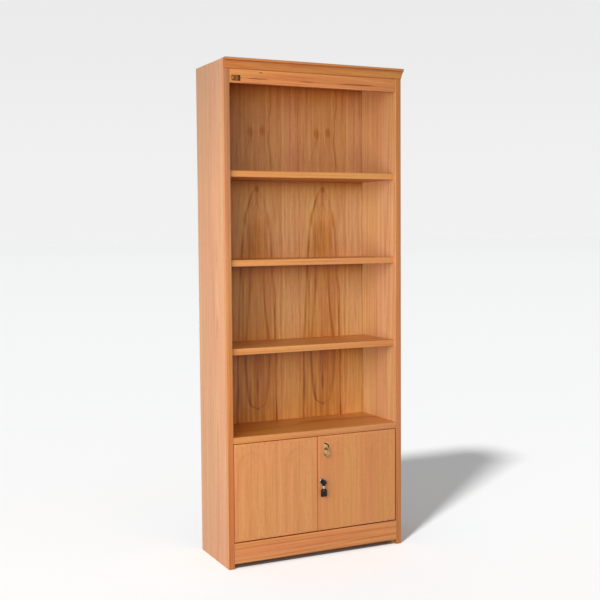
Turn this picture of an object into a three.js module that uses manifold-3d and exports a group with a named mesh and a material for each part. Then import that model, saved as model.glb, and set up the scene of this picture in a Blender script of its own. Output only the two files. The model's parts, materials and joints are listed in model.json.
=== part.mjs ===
// A tall bookcase: three open shelves over a low cabinet with two inset doors, one of them locking.
// Millimetres, +Z up, the front towards -Y. The origin is on the floor, under the middle of the whole piece.
import * as THREE from "three";
import { mergeVertices } from "three/addons/utils/BufferGeometryUtils.js";
import Module from "manifold-3d";

const wasm = await Module();
wasm.setup();

// Carcass
const HEIGHT = 2000;
const WIDTH = 790;
const SIDE_DEPTH = 305;
const BOARD = 25;
const LIPPING_DEPTH = 18;

// Crown moulding, on the front edges only
const CROWN_HEIGHT = 39;
const CROWN_PROJECTION = 25;
const CROWN_FILLET = 9;
const CROWN_QUIRK = 2;
const CROWN_FOOT = 2;
const CROWN_COVE_STEPS = 8;
const CROWN_COVE_DEPTH_share = 0.35;

// Frieze rail under the top panel
const FRIEZE_HEIGHT = 68;
const FRIEZE_THICKNESS = 20;
const FRIEZE_SETBACK = 1;

// Back panel, held in grooves
const BACK_PANEL = 6;
const BACK_RECESS = 12;
const GROOVE_DEPTH = 8;
const GROOVE_END_GAP = 1;

// Open shelves, evenly spaced between the cabinet and the top bay
const CABINET_HEIGHT = 525;
const TOP_BAY = 335;
const SHELF_SETBACK = 17;
const SHELF_NAMES = ["lower", "middle", "upper"];

// Base
const PLINTH_FLOOR_GAP = 20;
const PLINTH_HEIGHT = 58;
const PLINTH_THICKNESS = 20;
const BLOCK_LEG = 35;
const BLOCK_DROP = 8;

// Doors
const DOOR_THICKNESS = 20;
const DOOR_GAP = 3;
const DOOR_SETBACK = 2;
const DOOR_LIPPING = 9;

// Pivot hinges, let into the doors' top and bottom edges
const HINGE_BACKSET = 11;
const HINGE_SETBACK = 7;
const LEAF_WIDTH = 10;
const LEAF_REACH = 45;
const LEAF_THICKNESS = 2.5;
const PIN_RADIUS = 2.5;
const WASHER_RADIUS = 5;

// Laths that the doors close against
const STOP_HEIGHT = 12;
const STOP_THICKNESS = 12;
const STOP_CLEARANCE = 0.5;
const STOP_END_GAP = 30;
const STOP_CENTRE_GAP = 10;
const STOP_KEEPER_GAP = 18;

// Cam lock in the right door
const LOCK_DROP = 186;
const LOCK_BACKSET = 18.5;
const BEZEL_RADIUS = 11.5;
const BEZEL_THICKNESS = 2.5;
const BEZEL_CHAMFER = 0.8;
const LOCK_BODY_RADIUS = 8.2;
const LOCK_TAIL = 5;
const LOCK_NUT_RADIUS = 12.5;
const LOCK_NUT_THICKNESS = 4;
const PLUG_RADIUS = 6;
const TANG_SIDE = 6;
const CAM_THICKNESS = 2;
const CAM_REACH = 28;
const CAM_ROOT_RADIUS = 7.5;
const CAM_TIP_RADIUS = 5;
const CAM_CLEARANCE = 0.5;
const CAM_SCREW_RADIUS = 1.8;
const CAM_SCREW_HEAD_RADIUS = 4;
const CAM_SCREW_HEAD = 2.5;
const CAM_SCREW_DEPTH = 6;

// Key with a folding bow, left in the lock
const KEY_THICKNESS = 2.2;
const KEY_BLADE_WIDTH = 7.8;
const KEY_BLADE_LENGTH = 17;
const KEY_SHOULDER_WIDTH = 12;
const KEY_SHOULDER_LENGTH = 2.4;
const KEY_EYE_RADIUS = 4;
const KEY_PIVOT_REACH = 14;
const KEY_PIN_RADIUS = 1.2;
const BOW_THICKNESS = 4;
const BOW_LENGTH = 62;
const BOW_CHEEK_RADIUS = 6;
const BOW_CHEEK_WIDTH = 12;
const BOW_SLOT_WIDTH = 5;
const BOW_SLOT_HEIGHT = 10;
const BOW_SLOT_DROP = 37;
const BOW_WIDTH = 27;
const BOW_FORK_DEPTH = 6.6;
const BOW_OUTLINE_shares = [
  [0.84, 0.0],
  [0.89, 0.04],
  [0.84, 0.11],
  [0.6, 0.2],
  [0.34, 0.27],
  [0.16, 0.33],
  [0.16, 0.42],
  [0.34, 0.445],
  [0.67, 0.485],
  [0.88, 0.55],
  [0.96, 0.66],
  [1.0, 0.9],
  [0.96, 0.97],
  [0.84, 1.0],
];

// Drop pull on the right door
const PULL_DROP = 51;
const PULL_BACKSET = 37.5;
const PLATE_THICKNESS = 1.6;
const PLATE_WIDTH = 26;
const PLATE_LENGTH = 66;
const PLATE_DROP = 8;
const PLATE_OUTLINE_shares = [
  [0.0, 1.0],
  [0.28, 0.97],
  [0.52, 0.91],
  [0.74, 0.82],
  [0.9, 0.7],
  [0.98, 0.56],
  [0.94, 0.42],
  [0.84, 0.28],
  [0.82, 0.14],
  [0.84, 0.0],
];
const POST_FLANGE_RADIUS = 6.5;
const POST_FLANGE_THICKNESS = 1.6;
const POST_STEM_RADIUS = 2.5;
const POST_SHANK_RADIUS = 2.2;
const POST_TAIL = 6;
const POST_REACH = 8;
const POST_EYE_WALL = 2.2;
const POST_EYE_WIDTH = 5.4;
const POST_EYE_PLAY = 0.9;
const POST_NUT_RADIUS = 5.5;
const POST_NUT_THICKNESS = 4;
const RING_WIRE_RADIUS = 1.5;
const RING_FOOT_RADIUS = 2.4;
const RING_HALF_WIDTH = 11;
const RING_DROP = 34;
const RING_BEAD_RADIUS = 3.2;
const RING_SEGMENTS = 36;
const RING_SIDES = 10;

// Strike and bolt behind the left door
const STRIKE_CLEARANCE = 0.5;
const STRIKE_WIDTH = 25;
const STRIKE_LENGTH = 50;
const STRIKE_EDGE = 1;
const BOLT_BACKSET = 43.5;
const BOLT_RADIUS = 3.5;
const BOLT_LENGTH = 58;
const BOLT_KEEPER_GAP = 3;
const CASE_WIDTH = 26;
const CASE_LENGTH = 60;
const CASE_PLATE = 2;
const CASE_WALL = 2;
const CASE_MARGIN = 12;
const GUIDE_WIDTH = 14;
const GUIDE_LENGTH = 7;
const GUIDE_OFFSET = 14;
const KNOB_RADIUS = 3;
const KNOB_REACH = 6;
const KNOB_RISE = 5.5;
const KEEPER_WIDTH = 24;
const KEEPER_DROP = 12;
const KEEPER_THICKNESS = 2;
const KEEPER_REACH = 20;
const KEEPER_CLEARANCE = 0.5;

// Bare plate on the frieze
const BLANK_WIDTH = 36;
const BLANK_HEIGHT = 22;
const BLANK_THICKNESS = 1.2;
const BLANK_CENTRE_INSET = 27;
const BLANK_CENTRE_RISE = 18.5;
const BLANK_PIN_INSET = 4.5;
const BLANK_PIN_RADIUS = 1.6;
const BLANK_PIN_SHANK_RADIUS = 0.8;
const BLANK_PIN_DOME = 0.9;

// Shared fits
const FIT = 0.3;
const OVERRUN = 5;
const ROUND_STEPS = 32;

// Places worked out from the sizes above
const sideFace = WIDTH / 2;
const innerFace = sideFace - BOARD;
const front = -(SIDE_DEPTH + CROWN_PROJECTION) / 2 + CROWN_PROJECTION;
const rear = front + SIDE_DEPTH;
const lippingBack = front + LIPPING_DEPTH;
const backFace = rear - BACK_RECESS - BACK_PANEL;
const backRear = rear - BACK_RECESS;
const topUnder = HEIGHT - BOARD;
const friezeBottom = topUnder - FRIEZE_HEIGHT;
const shelfPitch = (friezeBottom - TOP_BAY - CABINET_HEIGHT) / SHELF_NAMES.length;
const plinthTop = PLINTH_FLOOR_GAP + PLINTH_HEIGHT;
const bottomTop = plinthTop + BOARD;
const cabinetUnder = CABINET_HEIGHT - BOARD;
const doorBottom = bottomTop + DOOR_GAP;
const doorTop = cabinetUnder - DOOR_GAP;
const doorWidth = innerFace - (3 * DOOR_GAP) / 2;
const doorFace = -HINGE_SETBACK;
const doorBack = doorFace + DOOR_THICKNESS;
const hingeX = innerFace - DOOR_GAP - HINGE_BACKSET;
const hingeY = front + DOOR_SETBACK + HINGE_SETBACK;
const doorBackInCarcass = hingeY + doorBack;
const lockZ = doorTop - LOCK_DROP;
const pullZ = doorTop - PULL_DROP;

const FINISHES = {
  veneer: { color: 0xd29460, roughness: 0.5, metalness: 0 },
  solid: { color: 0xc98a52, roughness: 0.5, metalness: 0 },
  back: { color: 0xa8683a, roughness: 0.55, metalness: 0 },
  hidden: { color: 0xb98a5a, roughness: 0.8, metalness: 0 },
  brass: { color: 0xa5854a, roughness: 0.4, metalness: 1 },
  chrome: { color: 0xc8ccd0, roughness: 0.15, metalness: 1 },
  steel: { color: 0x9a9a98, roughness: 0.35, metalness: 1 },
  black: { color: 0x17130f, roughness: 0.45, metalness: 0 },
};

const span = (a, b) => [Math.min(a, b), Math.max(a, b)];
const around = (centre, width) => [centre - width / 2, centre + width / 2];

function add(group, name, geometry, finish) {
  const mesh = new THREE.Mesh(geometry, new THREE.MeshStandardMaterial(FINISHES[finish]));
  mesh.name = name;
  group.add(mesh);
  return mesh;
}

// A box between the ends of three ranges.
function slab([x0, x1], [y0, y1], [z0, z1]) {
  const geometry = new THREE.BoxGeometry(1, 1, 1);
  const corner = geometry.getAttribute("position");
  for (let i = 0; i < corner.count; i++) {
    const x = corner.getX(i) > 0 ? x1 : x0;
    const y = corner.getY(i) > 0 ? y1 : y0;
    const z = corner.getZ(i) > 0 ? z1 : z0;
    corner.setXYZ(i, x, y, z);
  }
  return geometry;
}

// An outline drawn along one axis. Its points are [y, z] along X, [x, z] along Y and [x, y] along Z.
function prism(axis, outline, [low, high], holes = []) {
  const points = (list) => list.map(([u, v]) => new THREE.Vector2(u, v));
  const shape = new THREE.Shape(points(outline));
  shape.holes = holes.map((hole) => new THREE.Path(points(hole)));
  const geometry = new THREE.ExtrudeGeometry(shape, { depth: 1, bevelEnabled: false });
  const corner = geometry.getAttribute("position");
  for (let i = 0; i < corner.count; i++) {
    const u = corner.getX(i);
    const v = corner.getY(i);
    const end = corner.getZ(i) > 0;
    if (axis === "x") corner.setXYZ(i, end ? high : low, u, v);
    if (axis === "y") corner.setXYZ(i, u, end ? low : high, v);
    if (axis === "z") corner.setXYZ(i, u, v, end ? high : low);
  }
  return geometry;
}

// A turned piece. Its profile lists [radius, place along the axis], from the low end to the high end.
function turned(axis, profile, [u, v]) {
  const points = profile.map(([radius, place]) => new THREE.Vector2(radius, place));
  const geometry = new THREE.LatheGeometry(points, ROUND_STEPS);
  if (axis === "x") geometry.rotateZ(-Math.PI / 2).translate(0, u, v);
  if (axis === "y") geometry.translate(u, 0, v);
  if (axis === "z") geometry.rotateX(Math.PI / 2).translate(u, v, 0);
  return geometry;
}

const rod = (axis, radius, [low, high], centre) =>
  turned(axis, [[0, low], [radius, low], [radius, high], [0, high]], centre);

const tube = (axis, inner, outer, [low, high], centre) =>
  turned(axis, [[inner, low], [outer, low], [outer, high], [inner, high], [inner, low]], centre);

// A closed loop of round section: place(t) and radius(t) for t from 0 to 1, in the XZ plane.
function loop(place, radius, segments, sides) {
  const vertices = [];
  const faces = [];
  for (let i = 0; i < segments; i++) {
    const t = i / segments;
    const [x, z] = place(t);
    const [nextX, nextZ] = place(t + 1 / (segments * segments));
    const along = new THREE.Vector2(nextX - x, nextZ - z).normalize();
    for (let k = 0; k < sides; k++) {
      const turn = (2 * Math.PI * k) / sides;
      const out = radius(t) * Math.cos(turn);
      vertices.push(x + along.y * out, radius(t) * Math.sin(turn), z - along.x * out);
      const a = i * sides + k;
      const b = i * sides + ((k + 1) % sides);
      const c = ((i + 1) % segments) * sides + k;
      const d = ((i + 1) % segments) * sides + ((k + 1) % sides);
      faces.push(a, b, c, b, d, c);
    }
  }
  const geometry = new THREE.BufferGeometry();
  geometry.setAttribute("position", new THREE.Float32BufferAttribute(vertices, 3));
  geometry.setIndex(faces);
  geometry.computeVertexNormals();
  return geometry;
}

// Joining and cutting
function solid(geometry) {
  const bare = new THREE.BufferGeometry();
  bare.setAttribute("position", geometry.getAttribute("position"));
  bare.setIndex(geometry.index);
  const merged = mergeVertices(bare);
  return new wasm.Manifold(
    new wasm.Mesh({
      numProp: 3,
      vertProperties: merged.getAttribute("position").array,
      triVerts: new Uint32Array(merged.index.array),
    }),
  );
}

function surface(body) {
  const mesh = body.getMesh();
  const geometry = new THREE.BufferGeometry();
  geometry.setAttribute("position", new THREE.BufferAttribute(mesh.vertProperties, 3));
  geometry.setIndex(new THREE.BufferAttribute(mesh.triVerts, 1));
  geometry.computeVertexNormals();
  return geometry;
}

const cut = (geometry, ...tools) =>
  surface(tools.reduce((body, tool) => body.subtract(solid(tool)), solid(geometry)));

const join = (...pieces) => surface(pieces.map(solid).reduce((body, piece) => body.add(piece)));

// Outlines
const rectangle = ([u0, u1], [v0, v1]) => [[u0, v0], [u1, v0], [u1, v1], [u0, v1]];

function arc([u, v], radius, from, to, steps) {
  return Array.from({ length: steps + 1 }, (_, i) => {
    const angle = from + ((to - from) * i) / steps;
    return [u + radius * Math.cos(angle), v + radius * Math.sin(angle)];
  });
}

const circle = (centre, radius) => arc(centre, radius, 0, 2 * Math.PI, ROUND_STEPS).slice(0, -1);

const hexagon = (centre, radius) => arc(centre, radius, 0, 2 * Math.PI, 6).slice(0, -1);

// The right half of an outline as [half width, height] points, mirrored to the left.
function mirrored(half) {
  const other = half.filter(([u]) => u > 0).map(([u, v]) => [-u, v]);
  return [...half, ...other.reverse()];
}

// Sides, top, back and front trim
function carcass() {
  const group = new THREE.Group();
  const groove = [backFace - FIT, backRear + FIT];
  for (const [label, side] of [["left", -1], ["right", 1]]) {
    const outer = side * sideFace;
    const inner = side * innerFace;
    const grooveFloor = side * (innerFace + GROOVE_DEPTH);
    const section = [
      [outer, lippingBack],
      [inner, lippingBack],
      [inner, groove[0]],
      [grooveFloor, groove[0]],
      [grooveFloor, groove[1]],
      [inner, groove[1]],
      [inner, rear],
      [outer, rear],
    ];
    add(group, `side_panel_${label}`, prism("z", section, [0, HEIGHT]), "veneer");
    const lipping = slab(span(outer, inner), [front, lippingBack], [0, HEIGHT]);
    add(group, `side_lipping_${label}`, lipping, "solid");
  }

  const inside = [-innerFace, innerFace];
  const topSection = [
    [front, topUnder],
    [groove[0], topUnder],
    [groove[0], topUnder + GROOVE_DEPTH],
    [groove[1], topUnder + GROOVE_DEPTH],
    [groove[1], topUnder],
    [rear, topUnder],
    [rear, HEIGHT],
    [front, HEIGHT],
  ];
  add(group, "top_panel", prism("x", topSection, inside), "veneer");
  add(group, "crown_moulding", crown(), "solid");

  const friezeFace = front + FRIEZE_SETBACK;
  const frieze = slab(inside, [friezeFace, friezeFace + FRIEZE_THICKNESS], [friezeBottom, topUnder]);
  add(group, "frieze_rail", frieze, "solid");

  const tongue = GROOVE_DEPTH - GROOVE_END_GAP;
  const backWidth = [-innerFace - tongue, innerFace + tongue];
  const back = slab(backWidth, [backFace, backRear], [plinthTop, topUnder + tongue]);
  add(group, "back_panel", back, "back");

  const shelfFront = front + SHELF_SETBACK;
  const shelfJoint = shelfFront + LIPPING_DEPTH;
  SHELF_NAMES.forEach((name, i) => {
    const top = CABINET_HEIGHT + shelfPitch * (i + 1);
    const rise = [top - BOARD, top];
    add(group, `shelf_${name}`, slab(inside, [shelfJoint, backFace], rise), "veneer");
    add(group, `shelf_lipping_${name}`, slab(inside, [shelfFront, shelfJoint], rise), "solid");
  });
  return group;
}

// A cove between a top fillet and a small foot, drawn across the whole front.
function crown() {
  const foot = new THREE.Vector2(front - CROWN_FOOT, HEIGHT - CROWN_HEIGHT);
  const head = new THREE.Vector2(front - CROWN_PROJECTION + CROWN_QUIRK, HEIGHT - CROWN_FILLET);
  const middle = foot.clone().lerp(head, 1 / 2);
  const hollow = middle.lerp(new THREE.Vector2(foot.x, head.y), CROWN_COVE_DEPTH_share);
  const cove = new THREE.QuadraticBezierCurve(foot, hollow, head).getPoints(CROWN_COVE_STEPS);
  const section = [
    [front, HEIGHT],
    [front, HEIGHT - CROWN_HEIGHT],
    ...cove.map((point) => [point.x, point.y]),
    [front - CROWN_PROJECTION, HEIGHT - CROWN_FILLET],
    [front - CROWN_PROJECTION, HEIGHT],
  ];
  return prism("x", section, [-sideFace, sideFace]);
}

// Cabinet top, bottom board, plinth and the laths behind the doors
function base() {
  const group = new THREE.Group();
  const inside = [-innerFace, innerFace];
  const lip = [front, lippingBack];
  const board = [lippingBack, backFace];

  const topRange = [cabinetUnder, CABINET_HEIGHT];
  add(group, "cabinet_top", slab(inside, board, topRange), "veneer");
  add(group, "cabinet_top_lipping", cut(slab(inside, lip, topRange), ...pockets(1)), "solid");

  const bottomRange = [plinthTop, bottomTop];
  add(group, "bottom_board", slab(inside, board, bottomRange), "veneer");
  add(group, "bottom_board_lipping", cut(slab(inside, lip, bottomRange), ...pockets(-1)), "solid");

  const plinthBack = front + PLINTH_THICKNESS;
  const plinth = slab(inside, [front, plinthBack], [PLINTH_FLOOR_GAP, plinthTop]);
  add(group, "plinth_board", plinth, "solid");
  for (const [label, side] of [["left", -1], ["right", 1]]) {
    const corner = [
      [side * innerFace, plinthBack],
      [side * (innerFace - BLOCK_LEG), plinthBack],
      [side * innerFace, plinthBack + BLOCK_LEG],
    ];
    const block = prism("z", corner, [PLINTH_FLOOR_GAP + BLOCK_DROP, plinthTop]);
    add(group, `plinth_block_${label}`, block, "hidden");
  }

  const stopFace = doorBackInCarcass + STOP_CLEARANCE;
  const stopDepth = [stopFace, stopFace + STOP_THICKNESS];
  const stopRise = [cabinetUnder - STOP_HEIGHT, cabinetUnder];
  const stopEnd = innerFace - STOP_END_GAP;
  const keeperEnd = DOOR_GAP / 2 + BOLT_BACKSET + KEEPER_WIDTH / 2;
  add(group, "door_stop_left", slab([-stopEnd, -keeperEnd - STOP_KEEPER_GAP], stopDepth, stopRise), "solid");
  add(group, "door_stop_right", slab([STOP_CENTRE_GAP, stopEnd], stopDepth, stopRise), "solid");
  return group;
}

// Plan of a hinge leaf about its pin: a round end on the pin, a square end towards the middle.
function leafPlan(inward, grow) {
  const radius = LEAF_WIDTH / 2 + grow;
  const reach = inward * (LEAF_REACH + grow);
  const end = arc([0, 0], radius, Math.PI / 2, (3 * Math.PI) / 2, ROUND_STEPS / 2);
  return [...end.map(([x, y]) => [inward * x, y]), [reach, -radius], [reach, radius]];
}

// Recesses for the frame leaves: end 1 is under the cabinet top, end -1 on the bottom board.
function pockets(end) {
  const face = end > 0 ? cabinetUnder : bottomTop;
  return [-1, 1].map((side) =>
    prism(
      "z",
      leafPlan(-side, FIT),
      span(face - end * OVERRUN, face + end * (LEAF_THICKNESS + FIT)),
    ).translate(side * hingeX, hingeY, 0),
  );
}

// The frame's half of each hinge: a leaf with the pin's hole, and the washer that carries the door.
function hingeFrames(side, label) {
  const group = new THREE.Group();
  group.position.set(side * hingeX, hingeY, 0);
  for (const [place, end] of [["top", 1], ["bottom", -1]]) {
    const face = end > 0 ? cabinetUnder : bottomTop;
    const edge = end > 0 ? doorTop : doorBottom;
    const hole = circle([0, 0], PIN_RADIUS + FIT);
    const leaf = prism("z", leafPlan(-side, 0), span(face, face + end * LEAF_THICKNESS), [hole]);
    add(group, `hinge_frame_leaf_${label}_${place}`, leaf, "brass");
    const rise = span(edge + end * FIT, face - end * FIT);
    const washer = tube("z", PIN_RADIUS + FIT, WASHER_RADIUS, rise, [0, 0]);
    add(group, `hinge_washer_${label}_${place}`, washer, "steel");
  }
  return group;
}

// A door about its hinge pins, with x counted from the pins towards the middle of the cabinet.
function door(side, label) {
  const group = new THREE.Group();
  group.position.set(side * hingeX, hingeY, 0);
  const inward = -side;
  const outerEdge = -HINGE_BACKSET;
  const freeEdge = doorWidth - HINGE_BACKSET;
  const depth = [doorFace, doorBack];
  const across = span(inward * outerEdge, inward * freeEdge);
  const innerAcross = [across[0] + DOOR_LIPPING, across[1] - DOOR_LIPPING];
  const rise = [doorBottom, doorTop];
  const innerRise = [doorBottom + DOOR_LIPPING, doorTop - DOOR_LIPPING];

  const holes = side > 0 ? rightDoorHoles(freeEdge) : [];
  add(group, `door_panel_${label}`, cut(slab(innerAcross, depth, innerRise), ...holes), "veneer");

  const pocketPlan = leafPlan(inward, FIT);
  const deep = LEAF_THICKNESS + FIT;
  const ring = prism("y", rectangle(across, rise), depth, [rectangle(innerAcross, innerRise)]);
  const lipping = cut(
    ring,
    prism("z", pocketPlan, [doorTop - deep, doorTop + OVERRUN]),
    prism("z", pocketPlan, [doorBottom - OVERRUN, doorBottom + deep]),
    ...holes,
  );
  add(group, `door_lipping_${label}`, lipping, "solid");

  for (const [place, end] of [["top", 1], ["bottom", -1]]) {
    const face = end > 0 ? cabinetUnder : bottomTop;
    const edge = end > 0 ? doorTop : doorBottom;
    const leafRise = span(edge - end * LEAF_THICKNESS, edge);
    const pinRise = span(edge - end * LEAF_THICKNESS, face + end * (LEAF_THICKNESS - FIT));
    const leaf = join(
      prism("z", leafPlan(inward, 0), leafRise),
      rod("z", PIN_RADIUS, pinRise, [0, 0]),
    );
    add(group, `hinge_door_leaf_${label}_${place}`, leaf, "brass");
  }
  return group;
}

// Holes through the right door, for the lock and for the pull's shank
function rightDoorHoles(freeEdge) {
  const through = [doorFace - OVERRUN, doorBack + OVERRUN];
  const lockX = -(freeEdge - LOCK_BACKSET);
  const pullX = -(freeEdge - PULL_BACKSET);
  return [
    rod("y", LOCK_BODY_RADIUS + FIT, through, [lockX, lockZ]),
    rod("y", POST_SHANK_RADIUS + FIT, through, [pullX, pullZ]),
  ];
}

// What is fixed behind the left door, at its free edge, and the bolt that slides there
function leftDoorFittings(group) {
  const freeEdge = doorWidth - HINGE_BACKSET;
  const strikeAcross = [freeEdge - STRIKE_EDGE - STRIKE_WIDTH, freeEdge - STRIKE_EDGE];
  const strikeDepth = [doorBack, doorBack + LOCK_TAIL + CAM_CLEARANCE - STRIKE_CLEARANCE];
  const strike = slab(strikeAcross, strikeDepth, around(lockZ, STRIKE_LENGTH));
  add(group, "strike_block", strike, "solid");

  const boltX = freeEdge - BOLT_BACKSET;
  const caseTop = doorTop - CASE_MARGIN;
  const boltY = doorBack + KEEPER_CLEARANCE + KEEPER_THICKNESS + KEEPER_CLEARANCE + BOLT_RADIUS;
  const caseBack = boltY + BOLT_RADIUS + CASE_WALL;
  const plateDepth = [doorBack, doorBack + CASE_PLATE];
  const lowGuide = caseTop - CASE_LENGTH + GUIDE_OFFSET;
  const guides = [caseTop - GUIDE_OFFSET, lowGuide].map((z) =>
    slab(around(boltX, GUIDE_WIDTH), [doorBack, caseBack], around(z, GUIDE_LENGTH)),
  );
  const plate = slab(around(boltX, CASE_WIDTH), plateDepth, [caseTop - CASE_LENGTH, caseTop]);
  const bore = rod(
    "z",
    BOLT_RADIUS + FIT,
    [caseTop - CASE_LENGTH - OVERRUN, caseTop + OVERRUN],
    [boltX, boltY],
  );
  add(group, "bolt_case", cut(join(plate, ...guides), bore), "steel");

  const boltTop = cabinetUnder - KEEPER_DROP - BOLT_KEEPER_GAP;
  const knobZ = lowGuide + GUIDE_LENGTH / 2 + KNOB_RISE + KNOB_RADIUS;
  const bolt = join(
    rod("z", BOLT_RADIUS, [boltTop - BOLT_LENGTH, boltTop], [boltX, boltY]),
    rod("y", KNOB_RADIUS, [boltY, caseBack + KNOB_REACH], [boltX, knobZ]),
  );
  add(group, "bolt_rod", bolt, "steel");
}

// The angle under the cabinet top that the bolt slides up behind
function keeper() {
  const near = doorBackInCarcass + KEEPER_CLEARANCE;
  const section = [
    [near, cabinetUnder],
    [near, cabinetUnder - KEEPER_DROP],
    [near + KEEPER_THICKNESS, cabinetUnder - KEEPER_DROP],
    [near + KEEPER_THICKNESS, cabinetUnder - KEEPER_THICKNESS],
    [near + KEEPER_REACH, cabinetUnder - KEEPER_THICKNESS],
    [near + KEEPER_REACH, cabinetUnder],
  ];
  const centre = -(DOOR_GAP / 2 + BOLT_BACKSET);
  return prism("x", section, around(centre, KEEPER_WIDTH));
}

// Lock, key and pull of the right door
function rightDoorFittings(group) {
  const freeEdge = doorWidth - HINGE_BACKSET;
  const lock = new THREE.Group();
  lock.position.set(-(freeEdge - LOCK_BACKSET), doorFace, lockZ);
  group.add(lock);

  // Along the lock's axis, y is 0 at the door's face and grows into the door.
  const tail = DOOR_THICKNESS + LOCK_TAIL;
  const bore = PLUG_RADIUS + FIT;
  const housing = [
    [bore, -BEZEL_THICKNESS],
    [BEZEL_RADIUS - BEZEL_CHAMFER, -BEZEL_THICKNESS],
    [BEZEL_RADIUS, -BEZEL_THICKNESS + BEZEL_CHAMFER],
    [BEZEL_RADIUS, -FIT],
    [LOCK_BODY_RADIUS, -FIT],
    [LOCK_BODY_RADIUS, tail],
    [bore, tail],
    [bore, -BEZEL_THICKNESS],
  ];
  add(lock, "lock_housing", turned("y", housing, [0, 0]), "chrome");
  const nutDepth = [DOOR_THICKNESS + FIT, DOOR_THICKNESS + FIT + LOCK_NUT_THICKNESS];
  const nutHole = circle([0, 0], LOCK_BODY_RADIUS + FIT);
  add(lock, "lock_nut", prism("y", hexagon([0, 0], LOCK_NUT_RADIUS), nutDepth, [nutHole]), "steel");
  lockCore(lock, tail);

  const pullX = -(freeEdge - PULL_BACKSET);
  const plateFace = doorFace - PLATE_THICKNESS;
  const plateOutline = plateShape(pullX);
  const shankHole = circle([pullX, pullZ], POST_SHANK_RADIUS + FIT);
  add(group, "pull_plate", prism("y", plateOutline, [plateFace, doorFace], [shankHole]), "brass");

  const eyeY = plateFace - POST_REACH;
  const seat = plateFace - FIT;
  const stem = [
    [0, eyeY],
    [POST_STEM_RADIUS, eyeY],
    [POST_STEM_RADIUS, seat - POST_FLANGE_THICKNESS],
    [POST_FLANGE_RADIUS, seat - POST_FLANGE_THICKNESS],
    [POST_FLANGE_RADIUS, seat],
    [POST_SHANK_RADIUS, seat],
    [POST_SHANK_RADIUS, doorBack + POST_TAIL],
    [0, doorBack + POST_TAIL],
  ];
  const eyeHole = RING_WIRE_RADIUS + POST_EYE_PLAY;
  const eyeWidth = around(0, POST_EYE_WIDTH);
  const holeWidth = around(0, POST_EYE_WIDTH + OVERRUN);
  const post = cut(
    join(
      turned("y", stem, [0, 0]),
      rod("x", eyeHole + POST_EYE_WALL, eyeWidth, [eyeY, 0]),
    ),
    rod("x", eyeHole, holeWidth, [eyeY, 0]),
  );
  add(group, "pull_post", post, "brass").position.set(pullX, 0, pullZ);

  const nutRange = [doorBack + FIT, doorBack + FIT + POST_NUT_THICKNESS];
  const nut = prism("y", hexagon([0, 0], POST_NUT_RADIUS), nutRange, [
    circle([0, 0], POST_SHANK_RADIUS + FIT),
  ]);
  add(group, "pull_nut", nut, "brass").position.set(pullX, 0, pullZ);
  add(group, "pull_ring", ring(), "brass").position.set(pullX, eyeY, pullZ);
}

// Outline of the pull's plate, alike to both sides and above and below its centre
function plateShape(centreX) {
  const centreZ = pullZ - PLATE_DROP;
  const quarter = PLATE_OUTLINE_shares.map(([across, up]) => [
    (across * PLATE_WIDTH) / 2,
    (up * PLATE_LENGTH) / 2,
  ]);
  const lower = quarter.slice(0, -1).map(([u, v]) => [u, -v]);
  const half = [...quarter, ...lower.reverse()];
  return mirrored(half).map(([u, v]) => [centreX + u, centreZ + v]);
}

// The hanging ring: its wire runs through the post's eye and thickens to a bead at the foot.
function ring() {
  const swell = (t) => ((1 - Math.cos(2 * Math.PI * t)) / 2) ** 2;
  const place = (t) => [
    RING_HALF_WIDTH * Math.sin(2 * Math.PI * t),
    (-RING_DROP / 2) * (1 - Math.cos(2 * Math.PI * t)),
  ];
  const radius = (t) => RING_WIRE_RADIUS + (RING_FOOT_RADIUS - RING_WIRE_RADIUS) * swell(t);
  const bead = new THREE.SphereGeometry(RING_BEAD_RADIUS, ROUND_STEPS / 2, ROUND_STEPS / 4);
  return join(
    loop(place, radius, RING_SEGMENTS, RING_SIDES),
    bead.rotateX(Math.PI / 2).translate(0, 0, -RING_DROP),
  );
}

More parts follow.
